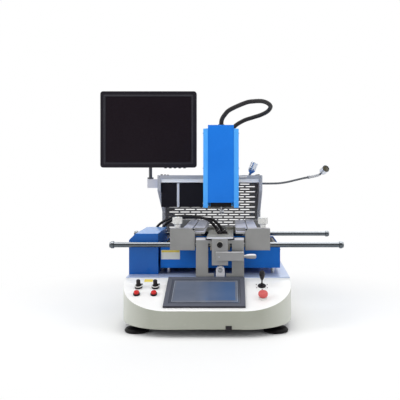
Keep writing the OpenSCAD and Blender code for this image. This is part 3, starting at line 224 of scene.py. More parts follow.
def makePiece(name, parts, material, sharp=32):
    # several parts become one mesh with its doubles merged and its faces turned outwards
    counts = np.cumsum([0] + [len(verts) for verts, _ in parts])
    verts = np.vstack([verts for verts, _ in parts])
    faces = [[k + start for k in face] for start, (_, some) in zip(counts, parts) for face in some]
    mesh = bpy.data.meshes.new(name)
    mesh.from_pydata(verts, [], faces)
    work = bmesh.new()
    work.from_mesh(mesh)
    bmesh.ops.remove_doubles(work, verts=work.verts, dist=1e-6)
    bmesh.ops.recalc_face_normals(work, faces=work.faces)
    work.to_mesh(mesh)
    work.free()
    mesh.polygons.foreach_set("use_smooth", np.ones(len(mesh.polygons), bool))
    mesh.set_sharp_from_angle(angle=math.radians(sharp))
    piece = bpy.data.objects.new(name, mesh)
    bpy.context.scene.collection.objects.link(piece)
    mesh.materials.append(material)
    return piece


# finishes: colours as they look, 0 to 255, and the grain of each surface

def linear(colour):
    c = np.asarray(colour, float) / 255
    return tuple(np.where(c <= 0.04045, c / 12.92, ((c + 0.055) / 1.055) ** 2.4)) + (1.0,)


class Tree:
    # a node tree, with short calls for the nodes that are used here
    def __init__(self, tree):
        self.tree = tree
        self.source = self.add("ShaderNodeTexCoord").outputs

    def add(self, kind, **settings):
        node = self.tree.nodes.new(kind)
        for key, value in settings.items():
            setattr(node, key, value)
        return node

    def put(self, value, socket):
        # a number or a colour is set on the socket, and an output is linked to it
        if isinstance(value, (int, float, tuple)):
            socket.default_value = value
        else:
            self.tree.links.new(value, socket)

    def split(self, vector):
        node = self.add("ShaderNodeSeparateXYZ")
        self.put(vector, node.inputs["Vector"])
        return node.outputs

    def span(self, source, low, high, fromLow=0.3, fromHigh=0.7, curve="LINEAR"):
        node = self.add("ShaderNodeMapRange", interpolation_type=curve)
        for key, value in (("Value", source), ("From Min", fromLow), ("From Max", fromHigh), ("To Min", low),
                           ("To Max", high)):
            self.put(value, node.inputs[key])
        return node.outputs["Result"]

    def math(self, operation, a, b=0.0):
        node = self.add("ShaderNodeMath", operation=operation)
        self.put(a, node.inputs[0])
        self.put(b, node.inputs[1])
        return node.outputs[0]

    def choose(self, factor, first, second):
        # one shader at nought and the other at one
        node = self.add("ShaderNodeMixShader")
        for value, socket in zip((factor, first, second), node.inputs):
            self.put(value, socket)
        return node.outputs[0]

    def seenDirectly(self):
        # one for what the camera, a mirror or a glass sees, and nought for light that falls on the object
        path = self.add("ShaderNodeLightPath").outputs
        seen = self.math("MAXIMUM", path["Is Camera Ray"], path["Is Glossy Ray"])
        return self.math("MAXIMUM", seen, path["Is Transmission Ray"])


class Graph(Tree):
    # a material's node tree, with short calls for what the finishes need
    sockets = {"metal": "Metallic", "coat": "Coat Weight", "coatRough": "Coat Roughness", "level": "Specular IOR Level"}

    def __init__(self, name):
        self.material = bpy.data.materials.new(name)
        self.material.use_nodes = True
        super().__init__(self.material.node_tree)
        self.shader = self.tree.nodes["Principled BSDF"].inputs
        self.coords = self.source["Object"]

    def noise(self, scale, stretch=(1, 1, 1), detail=3.0, turn=(0, 0, 0)):
        mapping = self.add("ShaderNodeMapping")
        texture = self.add("ShaderNodeTexNoise")
        for value, socket in ((stretch, mapping.inputs["Scale"]), (turn, mapping.inputs["Rotation"]),
                              (self.coords, mapping.inputs["Vector"]), (scale, texture.inputs["Scale"]),
                              (detail, texture.inputs["Detail"]),
                              (mapping.outputs["Vector"], texture.inputs["Vector"])):
            self.put(value, socket)
        return texture.outputs["Fac"]

    def facing(self, axis):
        # how far a face looks along an axis of its object, from -1 to 1
        return self.split(self.source["Normal"])[axis]

    def mix(self, factor, a, b):
        node = self.add("ShaderNodeMix", data_type="RGBA")
        for value, socket in ((factor, node.inputs["Factor"]), (a, node.inputs[6]), (b, node.inputs[7])):
            self.put(value, socket)
        return node.outputs[2]

    def drifted(self, noise, colour, tint):
        # two colours that run into each other
        return self.mix(self.span(noise, 0.0, 1.0), linear(colour), linear(tint))

    def surface(self, colour, rough, height, look, *keys):
        # colour, gloss and height, and constant values of the look on the shader's own sockets
        bump = self.add("ShaderNodeBump")
        for value, socket in ((colour, self.shader["Base Color"]), (rough, self.shader["Roughness"]),
                              (look["bump"], bump.inputs["Strength"]), (look["depth"], bump.inputs["Distance"]),
                              (height, bump.inputs["Height"]), (bump.outputs["Normal"], self.shader["Normal"])):
            self.put(value, socket)
        for key in keys:
            self.put(look[key], self.shader[self.sockets[key]])
        return self.material


plainFinish = {"driftScale": 7, "stretch": (1, 1, 1), "streakScale": 26, "streakStretch": (9, 1, 14),
               "streakTurn": (0.3, 0.5, 0.2), "streakDetail": 2.0, "rub": 0.25, "rubSpan": (0.60, 0.74),
               "rubRough": 0.1, "metal": 0.0, "coat": 0.0, "coatRough": 0.1, "level": 0.5, "bump": 0.15,
               "depth": 0.0004, "topSpan": (0.2, 0.7)}


def makeFinish(name, given):
    # slow colour drift, fine grain in gloss and height, thin rubbed streaks, and painted light where a top colour is
    # given: faces that look up are mixed towards that paler colour
    look = {**plainFinish, "worn": given["tint"], **given}
    g = Graph(name)
    colour = g.drifted(g.noise(look["driftScale"]), look["colour"], look["tint"])
    grain = g.noise(look["grain"], look["stretch"])
    streaks = g.noise(look["streakScale"], look["streakStretch"], look["streakDetail"], look["streakTurn"])
    rubbed = g.span(streaks, 0.0, look["rub"], *look["rubSpan"])
    colour = g.mix(rubbed, colour, linear(look["worn"]))
    # painted light: upward faces take the top colour, standing in for light from above
    if "top" in look:
        paintedTopLight = g.span(g.facing("Z"), 0.0, 1.0, *look["topSpan"])
        colour = g.mix(paintedTopLight, colour, linear(look["top"]))
    rough = g.math("ADD", g.span(grain, *look["rough"]), g.math("MULTIPLY", rubbed, look["rubRough"]))
    return g.surface(colour, rough, grain, look, "metal", "coat", "coatRough", "level")


bluePaint = {"grain": 850, "rough": (0.34, 0.44), "bump": 0.10, "rub": 0.2, "level": 0.2}
millAlloy = {"grain": 1500, "rough": (0.40, 0.54), "driftScale": 12, "level": 0.3}
satinAlloy = {"colour": (164, 164, 165), "tint": (152, 152, 153), "worn": (190, 190, 189), "grain": 1100,
              "rough": (0.30, 0.44), "metal": 0.55, "bump": 0.12}
greyPaint = {"grain": 900, "rough": (0.36, 0.5), "bump": 0.12, "level": 0.3}
turnedSteel = {"grain": 520, "stretch": (1, 1, 12), "bump": 0.06}
redPlastic = {"grain": 800, "rough": (0.22, 0.34), "bump": 0.05, "coat": 0.2, "driftScale": 40, "level": 0.3}
cordRubber = {"grain": 900, "bump": 0.2, "driftScale": 18}
film = {"grain": 700, "rough": (0.32, 0.44), "bump": 0.06, "driftScale": 40}
finishLooks = {
    "deckPaint": {"colour": (198, 212, 238), "tint": (184, 198, 224), "worn": (214, 222, 238), "grain": 900,
                  "rough": (0.30, 0.44), "metal": 0.35, "bump": 0.10, "streakStretch": (2, 26, 4), "level": 0.3},
    "panSteel": {"colour": (150, 152, 154), "tint": (126, 128, 132), "grain": 400, "stretch": (1, 14, 1),
                 "rough": (0.32, 0.5), "metal": 0.9},
    "footRubber": {"colour": (15, 13, 15), "tint": (22, 20, 21), "worn": (48, 46, 46), "grain": 700,
                   "rough": (0.38, 0.58), "bump": 0.25, "driftScale": 20, "level": 0.15},
    # the bezel's top colour is a painted highlight on its upward faces
    "panelFrame": {"colour": (46, 46, 54), "tint": (52, 52, 60), "worn": (60, 60, 68), "grain": 1300,
                   "rough": (0.36, 0.48), "bump": 0.14, "level": 0.2, "top": (91, 94, 105), "topSpan": (0.1, 0.6)},
    "blackPlastic": {"colour": (32, 28, 31), "tint": (42, 38, 41), "worn": (66, 62, 62), "grain": 1100,
                     "rough": (0.36, 0.5), "bump": 0.2, "driftScale": 30, "level": 0.2},
    "glossBlack": {"colour": (24, 21, 24), "tint": (32, 29, 32), "worn": (58, 56, 58), "grain": 600,
                   "rough": (0.16, 0.3), "bump": 0.05, "coat": 0.15, "driftScale": 30, "level": 0.2},
    "headBlue": {**bluePaint, "colour": (28, 126, 232), "tint": (22, 118, 223), "worn": (66, 150, 242)},
    # a paler copy of the head's blue for the housing's wings: a painted highlight, standing in for light caught by the
    # side bevels
    "wingHighlightBlue": {**bluePaint, "colour": (84, 176, 255), "tint": (72, 166, 255), "worn": (116, 194, 255)},
    # the cabinet's top colour is a painted sheen on its upward faces, standing in for reflected light
    "cabinetBlue": {"colour": (2, 96, 184), "tint": (0, 86, 168), "worn": (40, 124, 206), "grain": 850,
                    "rough": (0.34, 0.46), "bump": 0.12, "level": 0.2, "coat": 0.35, "coatRough": 0.08,
                    "top": (92, 152, 222)},
    "trayBlue": {"colour": (14, 114, 212), "tint": (8, 98, 190), "worn": (44, 130, 216), "grain": 850,
                 "rough": (0.36, 0.5), "bump": 0.12, "level": 0.2},
    # the top colour is a painted highlight on upward faces and bevels
    "greyAlloy": {**millAlloy, "colour": (158, 158, 157), "tint": (147, 147, 146), "worn": (182, 182, 180),
                  "metal": 0.45, "bump": 0.22, "top": (182, 182, 187)},
    "holderAlloy": {**millAlloy, "colour": (206, 203, 192), "tint": (192, 189, 177), "worn": (222, 220, 212),
                    "metal": 0.3, "bump": 0.2},
    # the arms' top colour is a painted highlight on their upward faces
    "armAlloy": {**millAlloy, "colour": (164, 164, 165), "tint": (152, 152, 153), "worn": (190, 190, 190),
                 "rough": (0.44, 0.58), "metal": 0.2, "bump": 0.16, "level": 0.25, "top": (196, 198, 211)},
    "trimGrey": {**greyPaint, "colour": (188, 190, 197), "tint": (174, 176, 184), "worn": (208, 210, 214),
                 "metal": 0.3},
    "paleGrey": {**greyPaint, "colour": (228, 228, 234), "tint": (216, 216, 223), "worn": (238, 238, 242),
                 "metal": 0.2},
    "ventGrey": {"colour": (200, 197, 194), "tint": (186, 183, 180), "worn": (212, 209, 206), "grain": 900,
                 "rough": (0.42, 0.58), "bump": 0.18, "level": 0.25},
    "beamAlloy": {"colour": (255, 255, 255), "tint": (250, 251, 253), "worn": (254, 254, 254), "grain": 500,
                  "stretch": (1, 22, 22), "rough": (0.30, 0.44), "bump": 0.08},
    # painted shade and highlight: the rods' steel is dark, and lighter on upward faces, standing in for a dark room
    # reflected below and light above
    "rodSteel": {"colour": (104, 110, 115), "tint": (92, 98, 103), "worn": (140, 145, 150), "grain": 420,
                 "stretch": (16, 1, 1), "rough": (0.14, 0.26), "metal": 1.0, "bump": 0.04,
                 "top": (172, 177, 182), "topSpan": (0.1, 0.5)},
    "brightSteel": {**turnedSteel, "colour": (196, 198, 202), "tint": (176, 178, 184), "worn": (220, 220, 224),
                    "rough": (0.20, 0.34), "metal": 1.0},
    "darkSteel": {**turnedSteel, "colour": (112, 113, 118), "tint": (94, 95, 100), "worn": (150, 150, 154),
                  "rough": (0.24, 0.38), "metal": 0.9},
    "heaterSteel": {"colour": (186, 178, 166), "tint": (150, 138, 126), "worn": (206, 190, 160), "grain": 420,
                    "stretch": (1, 1, 10), "rough": (0.28, 0.46), "metal": 0.95},
    "motorBlack": {"colour": (36, 36, 38), "tint": (48, 48, 50), "worn": (84, 84, 86), "grain": 380,
                   "stretch": (1, 1, 30), "rough": (0.34, 0.5), "metal": 0.3, "bump": 0.25, "level": 0.25},
    "opticsBlack": {"colour": (25, 23, 30), "tint": (32, 30, 37), "worn": (60, 58, 62), "grain": 950,
                    "rough": (0.38, 0.52), "bump": 0.18, "level": 0.12},
    "knobAlloy": {"colour": (228, 228, 226), "tint": (212, 212, 210), "worn": (242, 242, 240), "grain": 900,
                  "rough": (0.24, 0.38), "metal": 0.55, "bump": 0.08, "driftScale": 40},
    # the lever's and the carrier's top colours are painted highlights on their upward faces and bevels
    "leverAlloy": {**satinAlloy, "top": (240, 240, 243)},
    "carrierAlloy": {**satinAlloy, "top": (196, 194, 184)},
    "buttonRed": {**redPlastic, "colour": (220, 46, 42), "tint": (204, 36, 34), "worn": (232, 92, 84)},
    "stopRed": {**redPlastic, "colour": (218, 98, 96), "tint": (208, 86, 84), "worn": (226, 124, 118)},
    "monitorBlack": {"colour": (32, 29, 35), "tint": (38, 35, 41), "worn": (60, 58, 64), "grain": 1000,
                     "rough": (0.26, 0.40), "bump": 0.10, "level": 0.14},
    "rimBlack": {"colour": (44, 42, 48), "tint": (50, 48, 54), "worn": (72, 70, 76), "grain": 1000,
                 "rough": (0.2, 0.34), "bump": 0.06, "level": 0.3},
    "gridSteel": {"colour": (62, 60, 60), "tint": (80, 74, 70), "worn": (112, 104, 96), "grain": 600,
                  "rough": (0.38, 0.56), "metal": 0.7},
    "ceramic": {"colour": (214, 206, 192), "tint": (198, 186, 168), "worn": (176, 158, 134), "grain": 500,
                "rough": (0.5, 0.7), "bump": 0.3, "driftScale": 24, "level": 0.3},
    "hoseBlack": {**cordRubber, "colour": (38, 36, 38), "tint": (48, 46, 48), "worn": (70, 68, 68),
                  "rough": (0.46, 0.6), "level": 0.25},
    "leadBlack": {**cordRubber, "colour": (22, 20, 22), "tint": (30, 28, 30), "worn": (48, 46, 47),
                  "rough": (0.42, 0.56), "level": 0.15},
    "neckSteel": {"colour": (112, 114, 117), "tint": (96, 98, 101), "worn": (146, 147, 150), "grain": 700,
                  "rough": (0.34, 0.48), "metal": 0.5},
    "sleeveAlloy": {"colour": (178, 180, 184), "tint": (164, 166, 171), "worn": (198, 199, 202), "grain": 700,
                    "rough": (0.34, 0.48), "metal": 0.25, "bump": 0.06},
    "stripAlloy": {"colour": (228, 230, 238), "tint": (214, 217, 226), "worn": (248, 248, 252), "grain": 700,
                   "rough": (0.3, 0.42), "metal": 0.1, "bump": 0.06},
    "lampAlloy": {"colour": (214, 219, 228), "tint": (198, 204, 215), "worn": (232, 234, 240), "grain": 500,
                  "rough": (0.16, 0.28), "metal": 0.85, "bump": 0.02},
    "boltBlack": {"colour": (24, 23, 25), "tint": (36, 35, 37), "worn": (70, 70, 72), "grain": 900,
                  "rough": (0.30, 0.44), "metal": 0.4, "bump": 0.1, "driftScale": 60, "level": 0.3},
    "whiteRing": {**film, "colour": (236, 236, 233), "tint": (224, 224, 220), "worn": (206, 205, 200), "grain": 900,
                  "rough": (0.34, 0.46)},
    "yellowFilm": {**film, "colour": (240, 218, 96), "tint": (232, 206, 78), "worn": (246, 232, 150)},
    "paleFilm": {**film, "colour": (232, 233, 228), "tint": (224, 225, 218), "worn": (240, 240, 236)},
}
finishes = {name: makeFinish(name, look) for name, look in finishLooks.items()}

# the sloped panel: its rise is what the shell's height leaves above the front face
shellLow, shellHigh = toDesign(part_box("base_shell"))
panel = {"faceHeight": 51, "reach": 166, "top": shellHigh[2]}
panel["slope"] = math.atan2(panel["top"] - shellLow[2] - panel["faceHeight"], panel["reach"])
panelUp = np.array([0.0, -math.sin(panel["slope"]), math.cos(panel["slope"])])


def onPanel(x, back):
    # a point of the sloped panel, given by its distance from the deck's edge
    return np.array([x, -back, panel["top"] - back * math.tan(panel["slope"])])


def panelCoords(g, origin):
    # a material's coordinates turned so that X and Y lie in the panel and Z leaves it
    mapping = g.add("ShaderNodeMapping", vector_type="TEXTURE")
    mapping.inputs["Location"].default_value = toRow(origin)
    mapping.inputs["Rotation"].default_value = (panel["slope"], 0, 0)
    g.put(g.coords, mapping.inputs["Vector"])
    return g.split(mapping.outputs["Vector"])


# side is a paler wall colour on faces that look sideways: painted light, standing in for the side lamps
basePaint = {"wall": (170, 172, 160), "wallTint": (160, 162, 149), "film": (253, 253, 252),
             "filmTint": (249, 249, 248), "scuff": (190, 192, 182), "filmDepth": 0.0009, "side": (200, 202, 193),
             "paintedSideSpan": (0.35, 1.0), "driftScale": 5, "scuffScale": 30, "scuffStretch": (3, 3, 16),
             "scuffing": 0.4, "scuffSpan": (0.62, 0.76), "grain": 900, "rough": (0.36, 0.5), "bump": 0.1,
             "depth": 0.0004, "coat": 0.15, "coatRough": 0.3}


def makeBasePaint(look):
    # grey enamel on the walls, with painted light making them paler where they look sideways, and a white film on the
    # sloped face
    g = Graph("basePaint")
    drift = g.noise(look["driftScale"])
    wall = g.drifted(drift, look["wall"], look["wallTint"])
    scuffs = g.span(g.noise(look["scuffScale"], look["scuffStretch"]), 0.0, look["scuffing"], *look["scuffSpan"])
    wall = g.mix(scuffs, wall, linear(look["scuff"]))
    # painted light: walls that face along X are mixed towards the paler side colour
    paintedSideLight = g.span(g.math("ABSOLUTE", g.facing("X")), 0.0, 1.0, *look["paintedSideSpan"])
    wall = g.mix(paintedSideLight, wall, linear(look["side"]))
    film = g.drifted(drift, look["film"], look["filmTint"])
    height = panelCoords(g, (0, 0, panel["top"]))["Z"]
    onFilm = g.span(height, 0.0, 1.0, -look["filmDepth"], -look["filmDepth"] / 2)
    grain = g.noise(look["grain"])
    return g.surface(g.mix(onFilm, wall, film), g.span(grain, *look["rough"]), grain, look, "coat", "coatRough")


portalPaint = {"outside": (44, 112, 190), "outsideTint": (34, 98, 172), "inside": (190, 190, 200),
               "insideTint": (176, 176, 186), "skin": 0.0015, "driftScale": 7, "grain": 850, "rough": (0.34, 0.48),
               "bump": 0.12, "depth": 0.0004, "level": 0.2}


def makePortalPaint(look):
    # blue on the outer skin, and pale grey deeper than the skin from the sides and the top
    g = Graph("portalPaint")
    low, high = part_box("gantry_shell")
    place = g.split(g.coords)
    aside = g.math("ABSOLUTE", g.math("SUBTRACT", place["X"], (low[0] + high[0]) / 2))
    depth = g.math("MINIMUM", g.math("SUBTRACT", (high[0] - low[0]) / 2, aside),
                   g.math("SUBTRACT", high[2], place["Z"]))
    drift = g.noise(look["driftScale"])
    colour = g.mix(g.math("GREATER_THAN", depth, look["skin"]), g.drifted(drift, look["outside"], look["outsideTint"]),
                   g.drifted(drift, look["inside"], look["insideTint"]))
    grain = g.noise(look["grain"])
    return g.surface(colour, g.span(grain, *look["rough"]), grain, look, "level")


touchGlass = {"colour": (110, 116, 130), "tint": (100, 107, 122), "line": (158, 163, 175), "lineIn": 0.0085,
              "lineWide": 0.0011, "window": (62, 97, 145), "windowIn": 0.006, "border": (80, 84, 95),
              "glow": (0.1, 0.75, -0.03, 0.06), "driftScale": 14, "smear": 60, "rough": (0.07, 0.2), "bump": 0.02,
              "depth": 0.0003, "coat": 0.25, "coatRough": 0.05, "level": 0.3}


def makeTouchGlass(look):
    # grey glass that turns blue to the right, with a thin printed frame: a line where the distance to the
    # nearest edge is one value
    g = Graph("touchGlass")
    low, high = toDesign(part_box("hmi_screen"))
    place = panelCoords(g, (low + high) / 2)
    halfWide, halfDeep = (high - low)[:2] / 2 * millimetre
    fromSide = g.math("SUBTRACT", halfWide, g.math("ABSOLUTE", place["X"]))
    fromEnd = g.math("SUBTRACT", halfDeep / math.cos(panel["slope"]), g.math("ABSOLUTE", place["Y"]))
    nearest = g.math("MINIMUM", fromSide, fromEnd)
    line = g.math("COMPARE", nearest, look["lineIn"])
    line.node.inputs[2].default_value = look["lineWide"] / 2
    colour = g.drifted(g.noise(look["driftScale"], (1, 2, 1), 2.0), look["colour"], look["tint"])
    inside = g.math("GREATER_THAN", nearest, look["lineIn"] + look["windowIn"])
    glow = g.math("MULTIPLY", inside, g.span(place["X"], *look["glow"]))
    onBorder = g.math("LESS_THAN", nearest, look["lineIn"])
    for factor, key in ((glow, "window"), (onBorder, "border"), (line, "line")):
        colour = g.mix(factor, colour, linear(look[key]))
    smear = g.noise(look["smear"], (1, 4, 1))
    return g.surface(colour, g.span(smear, *look["rough"]), smear, look, "coat", "coatRough", "level")


screenGlass = {"colour": (26, 19, 25), "tint": (31, 24, 30), "driftScale": 4, "grain": 420, "stretch": (1, 1, 3),
               "detail": 2.0, "rough": (0.24, 0.34), "bump": 0.04, "depth": 0.0002, "level": 0.12}
lampLens = {"colour": (92, 88, 70), "tint": (70, 66, 52), "grain": 900, "stretch": (1, 0.2, 1), "detail": 1.0,
            "rough": (0.10, 0.24), "bump": 0.3, "depth": 0.0005, "level": 0.25}


def makeGlass(name, look):
    # a dark glass with a fine pattern: the screen's pixel mesh, or the lamps' prisms that also carry the colour
    g = Graph(name)
    pattern = g.noise(look["grain"], look["stretch"], look["detail"])
    drift = g.noise(look["driftScale"], detail=look["detail"]) if "driftScale" in look else pattern
    colour = g.drifted(drift, look["colour"], look["tint"])
    return g.surface(colour, g.span(pattern, *look["rough"]), pattern, look, "level")


finishes["basePaint"] = makeBasePaint(basePaint)
finishes["portalPaint"] = makePortalPaint(portalPaint)
finishes["touchGlass"] = makeTouchGlass(touchGlass)
finishes["screenGlass"] = makeGlass("screenGlass", screenGlass)
finishes["lampLens"] = makeGlass("lampLens", lampLens)
print("finishes made:", len(finishes))


def addPiece(name, parts, finish, body, sharp=32, replaced=None):
    # a piece that rides a body, and may stand for a node of the construction
    piece = makePiece(name, parts, finishes[finish], sharp)
    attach(piece, body)
    if replaced:
        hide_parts(replaced)


# cords: the routes of the construction, in the design's millimetres

hose = {
    "route": [(36, 208, 611), (38, 208, 628), (48, 208, 645), (66, 208, 662), (117, 210, 685), (147, 216, 691),
              (176, 232, 693), (197, 256, 688), (206, 284, 680), (197, 314, 668), (174, 338, 658), (145, 352, 650),
              (112, 359, 639), (78, 366, 616), (50, 377, 570), (44, 380, 520), (44, 380, 462)],
    "across": (0.3, -0.75, 0.6), "radius": 7.5, "rib": 0.1, "pitch": 4.0, "sides": 24, "rings": 720,
    "grommet": [(7.6, 0.2), (12.0, 0.2), (12.3, 0.8), (12.3, 3.8), (11.6, 5.4), (9.6, 7.8), (7.7, 8.8)],
    "grommetPlace": (36, 208, 604.8),
}
plugs = {
    "places": [(34, 92, 257), (50, 100, 257)], "tilt": math.radians(40), "foot": 3, "length": 14, "columns": 40,
    "collar": [(7.0, 0.1), (8.0, 0.1), (8.2, 0.5), (8.2, 5.6), (7.6, 6.4), (6.6, 6.6)],
    "sleeve": [(6.2, 0.0), (7.0, 0.0), (7.0, 8.6), (6.6, 9.0), (6.6, 10.0), (7.0, 10.4), (7.0, 13.6), (6.4, 14.6),
               (5.2, 15.6), (4.8, 19.0), (4.6, 19.6)],
}
plugWay = np.array([-math.sin(plugs["tilt"]), 0.0, math.cos(plugs["tilt"])])


def plugTip(number, out):
    # a point on a plug's slanted axis
    return tuple(np.array(plugs["places"][number]) + (0, 0, plugs["foot"]) + out * plugWay)


cables = {
    "radius": 4.5, "rib": 0.06, "pitch": 3.0, "sides": 16, "rings": 420, "across": (0.6, 0.8, 0.0),
    "routes": [
        [(-215, 340, 157), (-215, 340, 178), (-212, 338, 212), (-203, 330, 245), (-182, 312, 271), (-150, 280, 290),
         (-118, 232, 303), (-62, 152, 309), (-28, 120, 306), (-4, 100, 301), (14.3, 92, 285.3)],
        [(-190, 345, 157), (-190, 345, 178), (-188, 342, 216), (-178, 332, 250), (-156, 310, 274), (-124, 276, 290),
         (-92, 232, 299), (-48, 164, 304), (-16, 132, 303), (11, 109, 300), (29.9, 100, 284.9)],
    ],
}
routeSteps = 24


def makeCord(name, route, look, node, finish):
    # a tube along the smoothed route
    points = np.asarray(route, float)
    path, along = evenPath(smoothRoute(points, routeSteps), look["rings"])
    part = tubePart(path, along, look["radius"], look["rib"], look["pitch"], look["sides"], look["across"])
    piece = makePiece(name, [placePart(part)], finishes[finish])
    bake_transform(piece)
    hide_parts(node)


makeCord("headHose", hose["route"], hose, "head_hose", "hoseBlack")
for number, route in enumerate(cables["routes"]):
    makeCord(f"carrierLead{number + 1}", route + [plugTip(number, plugs["length"])], cables,
             f"carrier_cable_{number + 1}", "leadBlack")


def makePlugs():
    collars = [placePart(turned(plugs["collar"], plugs["columns"]), place) for place in plugs["places"]]
    sleeves = [placePart(turned(plugs["sleeve"], plugs["columns"]), plugTip(k, 0), basis(plugWay)) for k in range(2)]
    addPiece("plugSleeves", collars + sleeves, "blackPlastic", "nozzle_lift_carrier", 40)
    addPiece("hoseGrommet", [placePart(turned(hose["grommet"]), hose["grommetPlace"])], "blackPlastic", "head",
             40)


makePlugs()
print("cords laid")


# lamps: wound goosenecks, bells and lenses

lamps = {
    "routes": [
        [(180, 366, 413), (210, 366, 413), (240, 366, 414), (270, 366, 418), (300, 366, 425), (335, 370, 433),
         (370, 382, 439), (392, 394, 445), (402, 402, 452)],
        [(136, 386, 443), (137, 386, 448), (141, 385, 456)],
    ],
    "across": [(0, 1, 0.1), (1, 0, 0.1)], "neckRadius": 4.0, "coil": 0.3, "pitch": 2.6, "rings": [900, 60],
    "neckSides": 14, "sleeveSides": 20, "sleeveStep": 6, "columns": 56,
    "backs": [(403.8, 408.8, 454.2), (140, 386, 452)], "ways": [(0.23, -0.92, 0.32), (0.37, -0.10, 0.92)],
    "sleeveFrom": 0.74, "sleeveTo": 0.93, "sleeveRadius": 4.8, "clip": 5.8, "clipLength": 7,
    "bell": [(4.2, -7), (4.8, -6.6), (4.8, -1.4), (5.4, -0.4), (7.2, 0.2), (9.6, 3.4), (11.6, 6.8), (12.9, 8.6),
             (13.5, 10.4), (13.5, 19.7), (13.2, 20.1), (12.6, 20.3), (12.6, 21.7), (13.2, 21.9), (13.5, 22.3),
             (13.5, 36.4), (13.9, 37.0), (13.9, 39.4), (13.5, 40), (12.7, 40), (12.3, 39.5), (12.0, 37.0), (11.4, 35.6),
             (8.0, 31), (4.0, 28.6)],
    "lens": [(12.0, 36.4), (12.0, 37.2), (11.2, 37.7), (8, 38.5), (4, 38.9), (1.0, 39.0)],
}


def makeLamps():
    necks, sleeves, bells, lenses = [], [], [], []
    sorts = zip(lamps["routes"], lamps["across"], lamps["rings"], lamps["backs"], lamps["ways"])
    for route, across, rings, back, way in sorts:
        path, along = evenPath(smoothRoute(np.asarray(route, float), routeSteps), rings)
        necks.append(placePart(tubePart(path, along, lamps["neckRadius"], lamps["coil"], lamps["pitch"],
                                        lamps["neckSides"], across)))
        for parts, shape in ((bells, "bell"), (lenses, "lens")):
            parts.append(placePart(turned(lamps[shape], lamps["columns"]), back, basis(way)))
        if across == lamps["across"][0]:
            # the long neck has a sleeve near its end, and a clip where the sleeve begins
            first, last = (int(share * rings) for share in (lamps["sleeveFrom"], lamps["sleeveTo"]))
            some = slice(first, last, lamps["sleeveStep"])
            sleeves.append(placePart(tubePart(path[some], along[some], lamps["sleeveRadius"], 0.0, 1.0,
                                              lamps["sleeveSides"], across)))
            half = lamps["clipLength"] / 2
            clip = turned([(lamps["clip"], -half), (lamps["clip"], half)], lamps["sleeveSides"])
            sleeves.append(placePart(clip, path[first], basis(path[first + 1] - path[first])))
    addPiece("lampNecks", necks, "neckSteel", "station", 80, "lamp_necks")
    addPiece("lampSleeves", sleeves, "sleeveAlloy", "station", 40)
    addPiece("lampBells", bells, "lampAlloy", "station", replaced="lamp_heads")
    addPiece("lampLenses", lenses, "lampLens", "station")


makeLamps()
print("lamps made")


# clamp knobs: a neck and a knurled drum with a dished top

knob = {
    "profile": [(8.6, 0), (9, 0.4), (9, 9.4), (9.6, 10.4), (13.2, 12.2), (14.6, 13.2), (15, 14.2), (15, 18), (15, 22),
                (15, 26), (15, 30.4), (14.6, 31.8), (13.4, 32.8), (11.6, 33), (11, 32.4), (6, 32.2), (5.4, 32.6),
                (4.2, 32.6), (3.8, 32.0), (3.6, 30)],
    "flutes": 20, "fluteDepth": 0.9, "band": (14.0, 30.6), "columns": 240, "side": 130, "front": 30,
    "lift": 281.3, "stud": [(4, -12), (4, 0.5)], "studColumns": 24,
}
workX = 36


def makeKnobs():
    drum = turned(knob["profile"], knob["columns"], knob["fluteDepth"], knob["flutes"], knob["band"])
    stud = turned(knob["stud"], knob["studColumns"])
    for side, name in ((-1, "left"), (1, "right")):
        origin = (workX + side * knob["side"], knob["front"], knob["lift"])
        addPiece(f"{name}_knobGrip", [placePart(drum, origin), placePart(stud, origin)], "knobAlloy",
                 f"{name}_clamp_knob", 40, f"{name}_knob")


makeKnobs()


# lift screw: a trapezoid thread

thread = {"radius": 5.0, "depth": 1.0, "pitch": 10.0, "starts": 2, "columns": 40, "step": 0.5, "steepness": 1.6,
          "collar": 8.0, "collarHeight": 19.7, "chamfer": 1, "y": 311}


def makeThread():
    # the radius rises and falls as a clipped wave that climbs one pitch for each turn
    low, high = toDesign(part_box("lift_screw"))[:, 2]
    shoulder = low + thread["collarHeight"]
    z = np.arange(shoulder, high, thread["step"])
    angle = np.linspace(0, 2 * np.pi, thread["columns"], endpoint=False)
    phase = thread["starts"] * (2 * np.pi * z[:, None] / thread["pitch"] - angle)
    wave = np.clip(thread["steepness"] * np.cos(phase), -1, 1)
    r = thread["radius"] - thread["depth"] / 2 * (1 - wave)
    shaft = np.stack([r * np.cos(angle), r * np.sin(angle), z[:, None] + 0 * r], -1)
    outer, cut = thread["collar"], thread["chamfer"]
    collar = turned([(outer - cut, low), (outer, low + cut), (outer, shoulder - cut), (outer - cut, shoulder)],
                    thread["columns"])
    parts = [placePart(part, (workX, thread["y"], 0)) for part in (ringPart(shaft), collar)]
    addPiece("liftThread", parts, "brightSteel", "screw", 60, "lift_screw")


makeThread()


# heater tiles: dished ceramic plates on stems

tiles = {"side": 58, "pitch": 68, "columns": 5, "rows": 4, "thick": 10, "corner": 5, "edge": 1.5, "cells": 18,
         "dish": 3.0, "rim": 0.16, "ripple": 0.2, "ripples": 6, "share": 0.9, "gap": 0.2, "sink": 0.3,
         "stem": 6, "stemIn": 0.5, "stemColumns": 24}


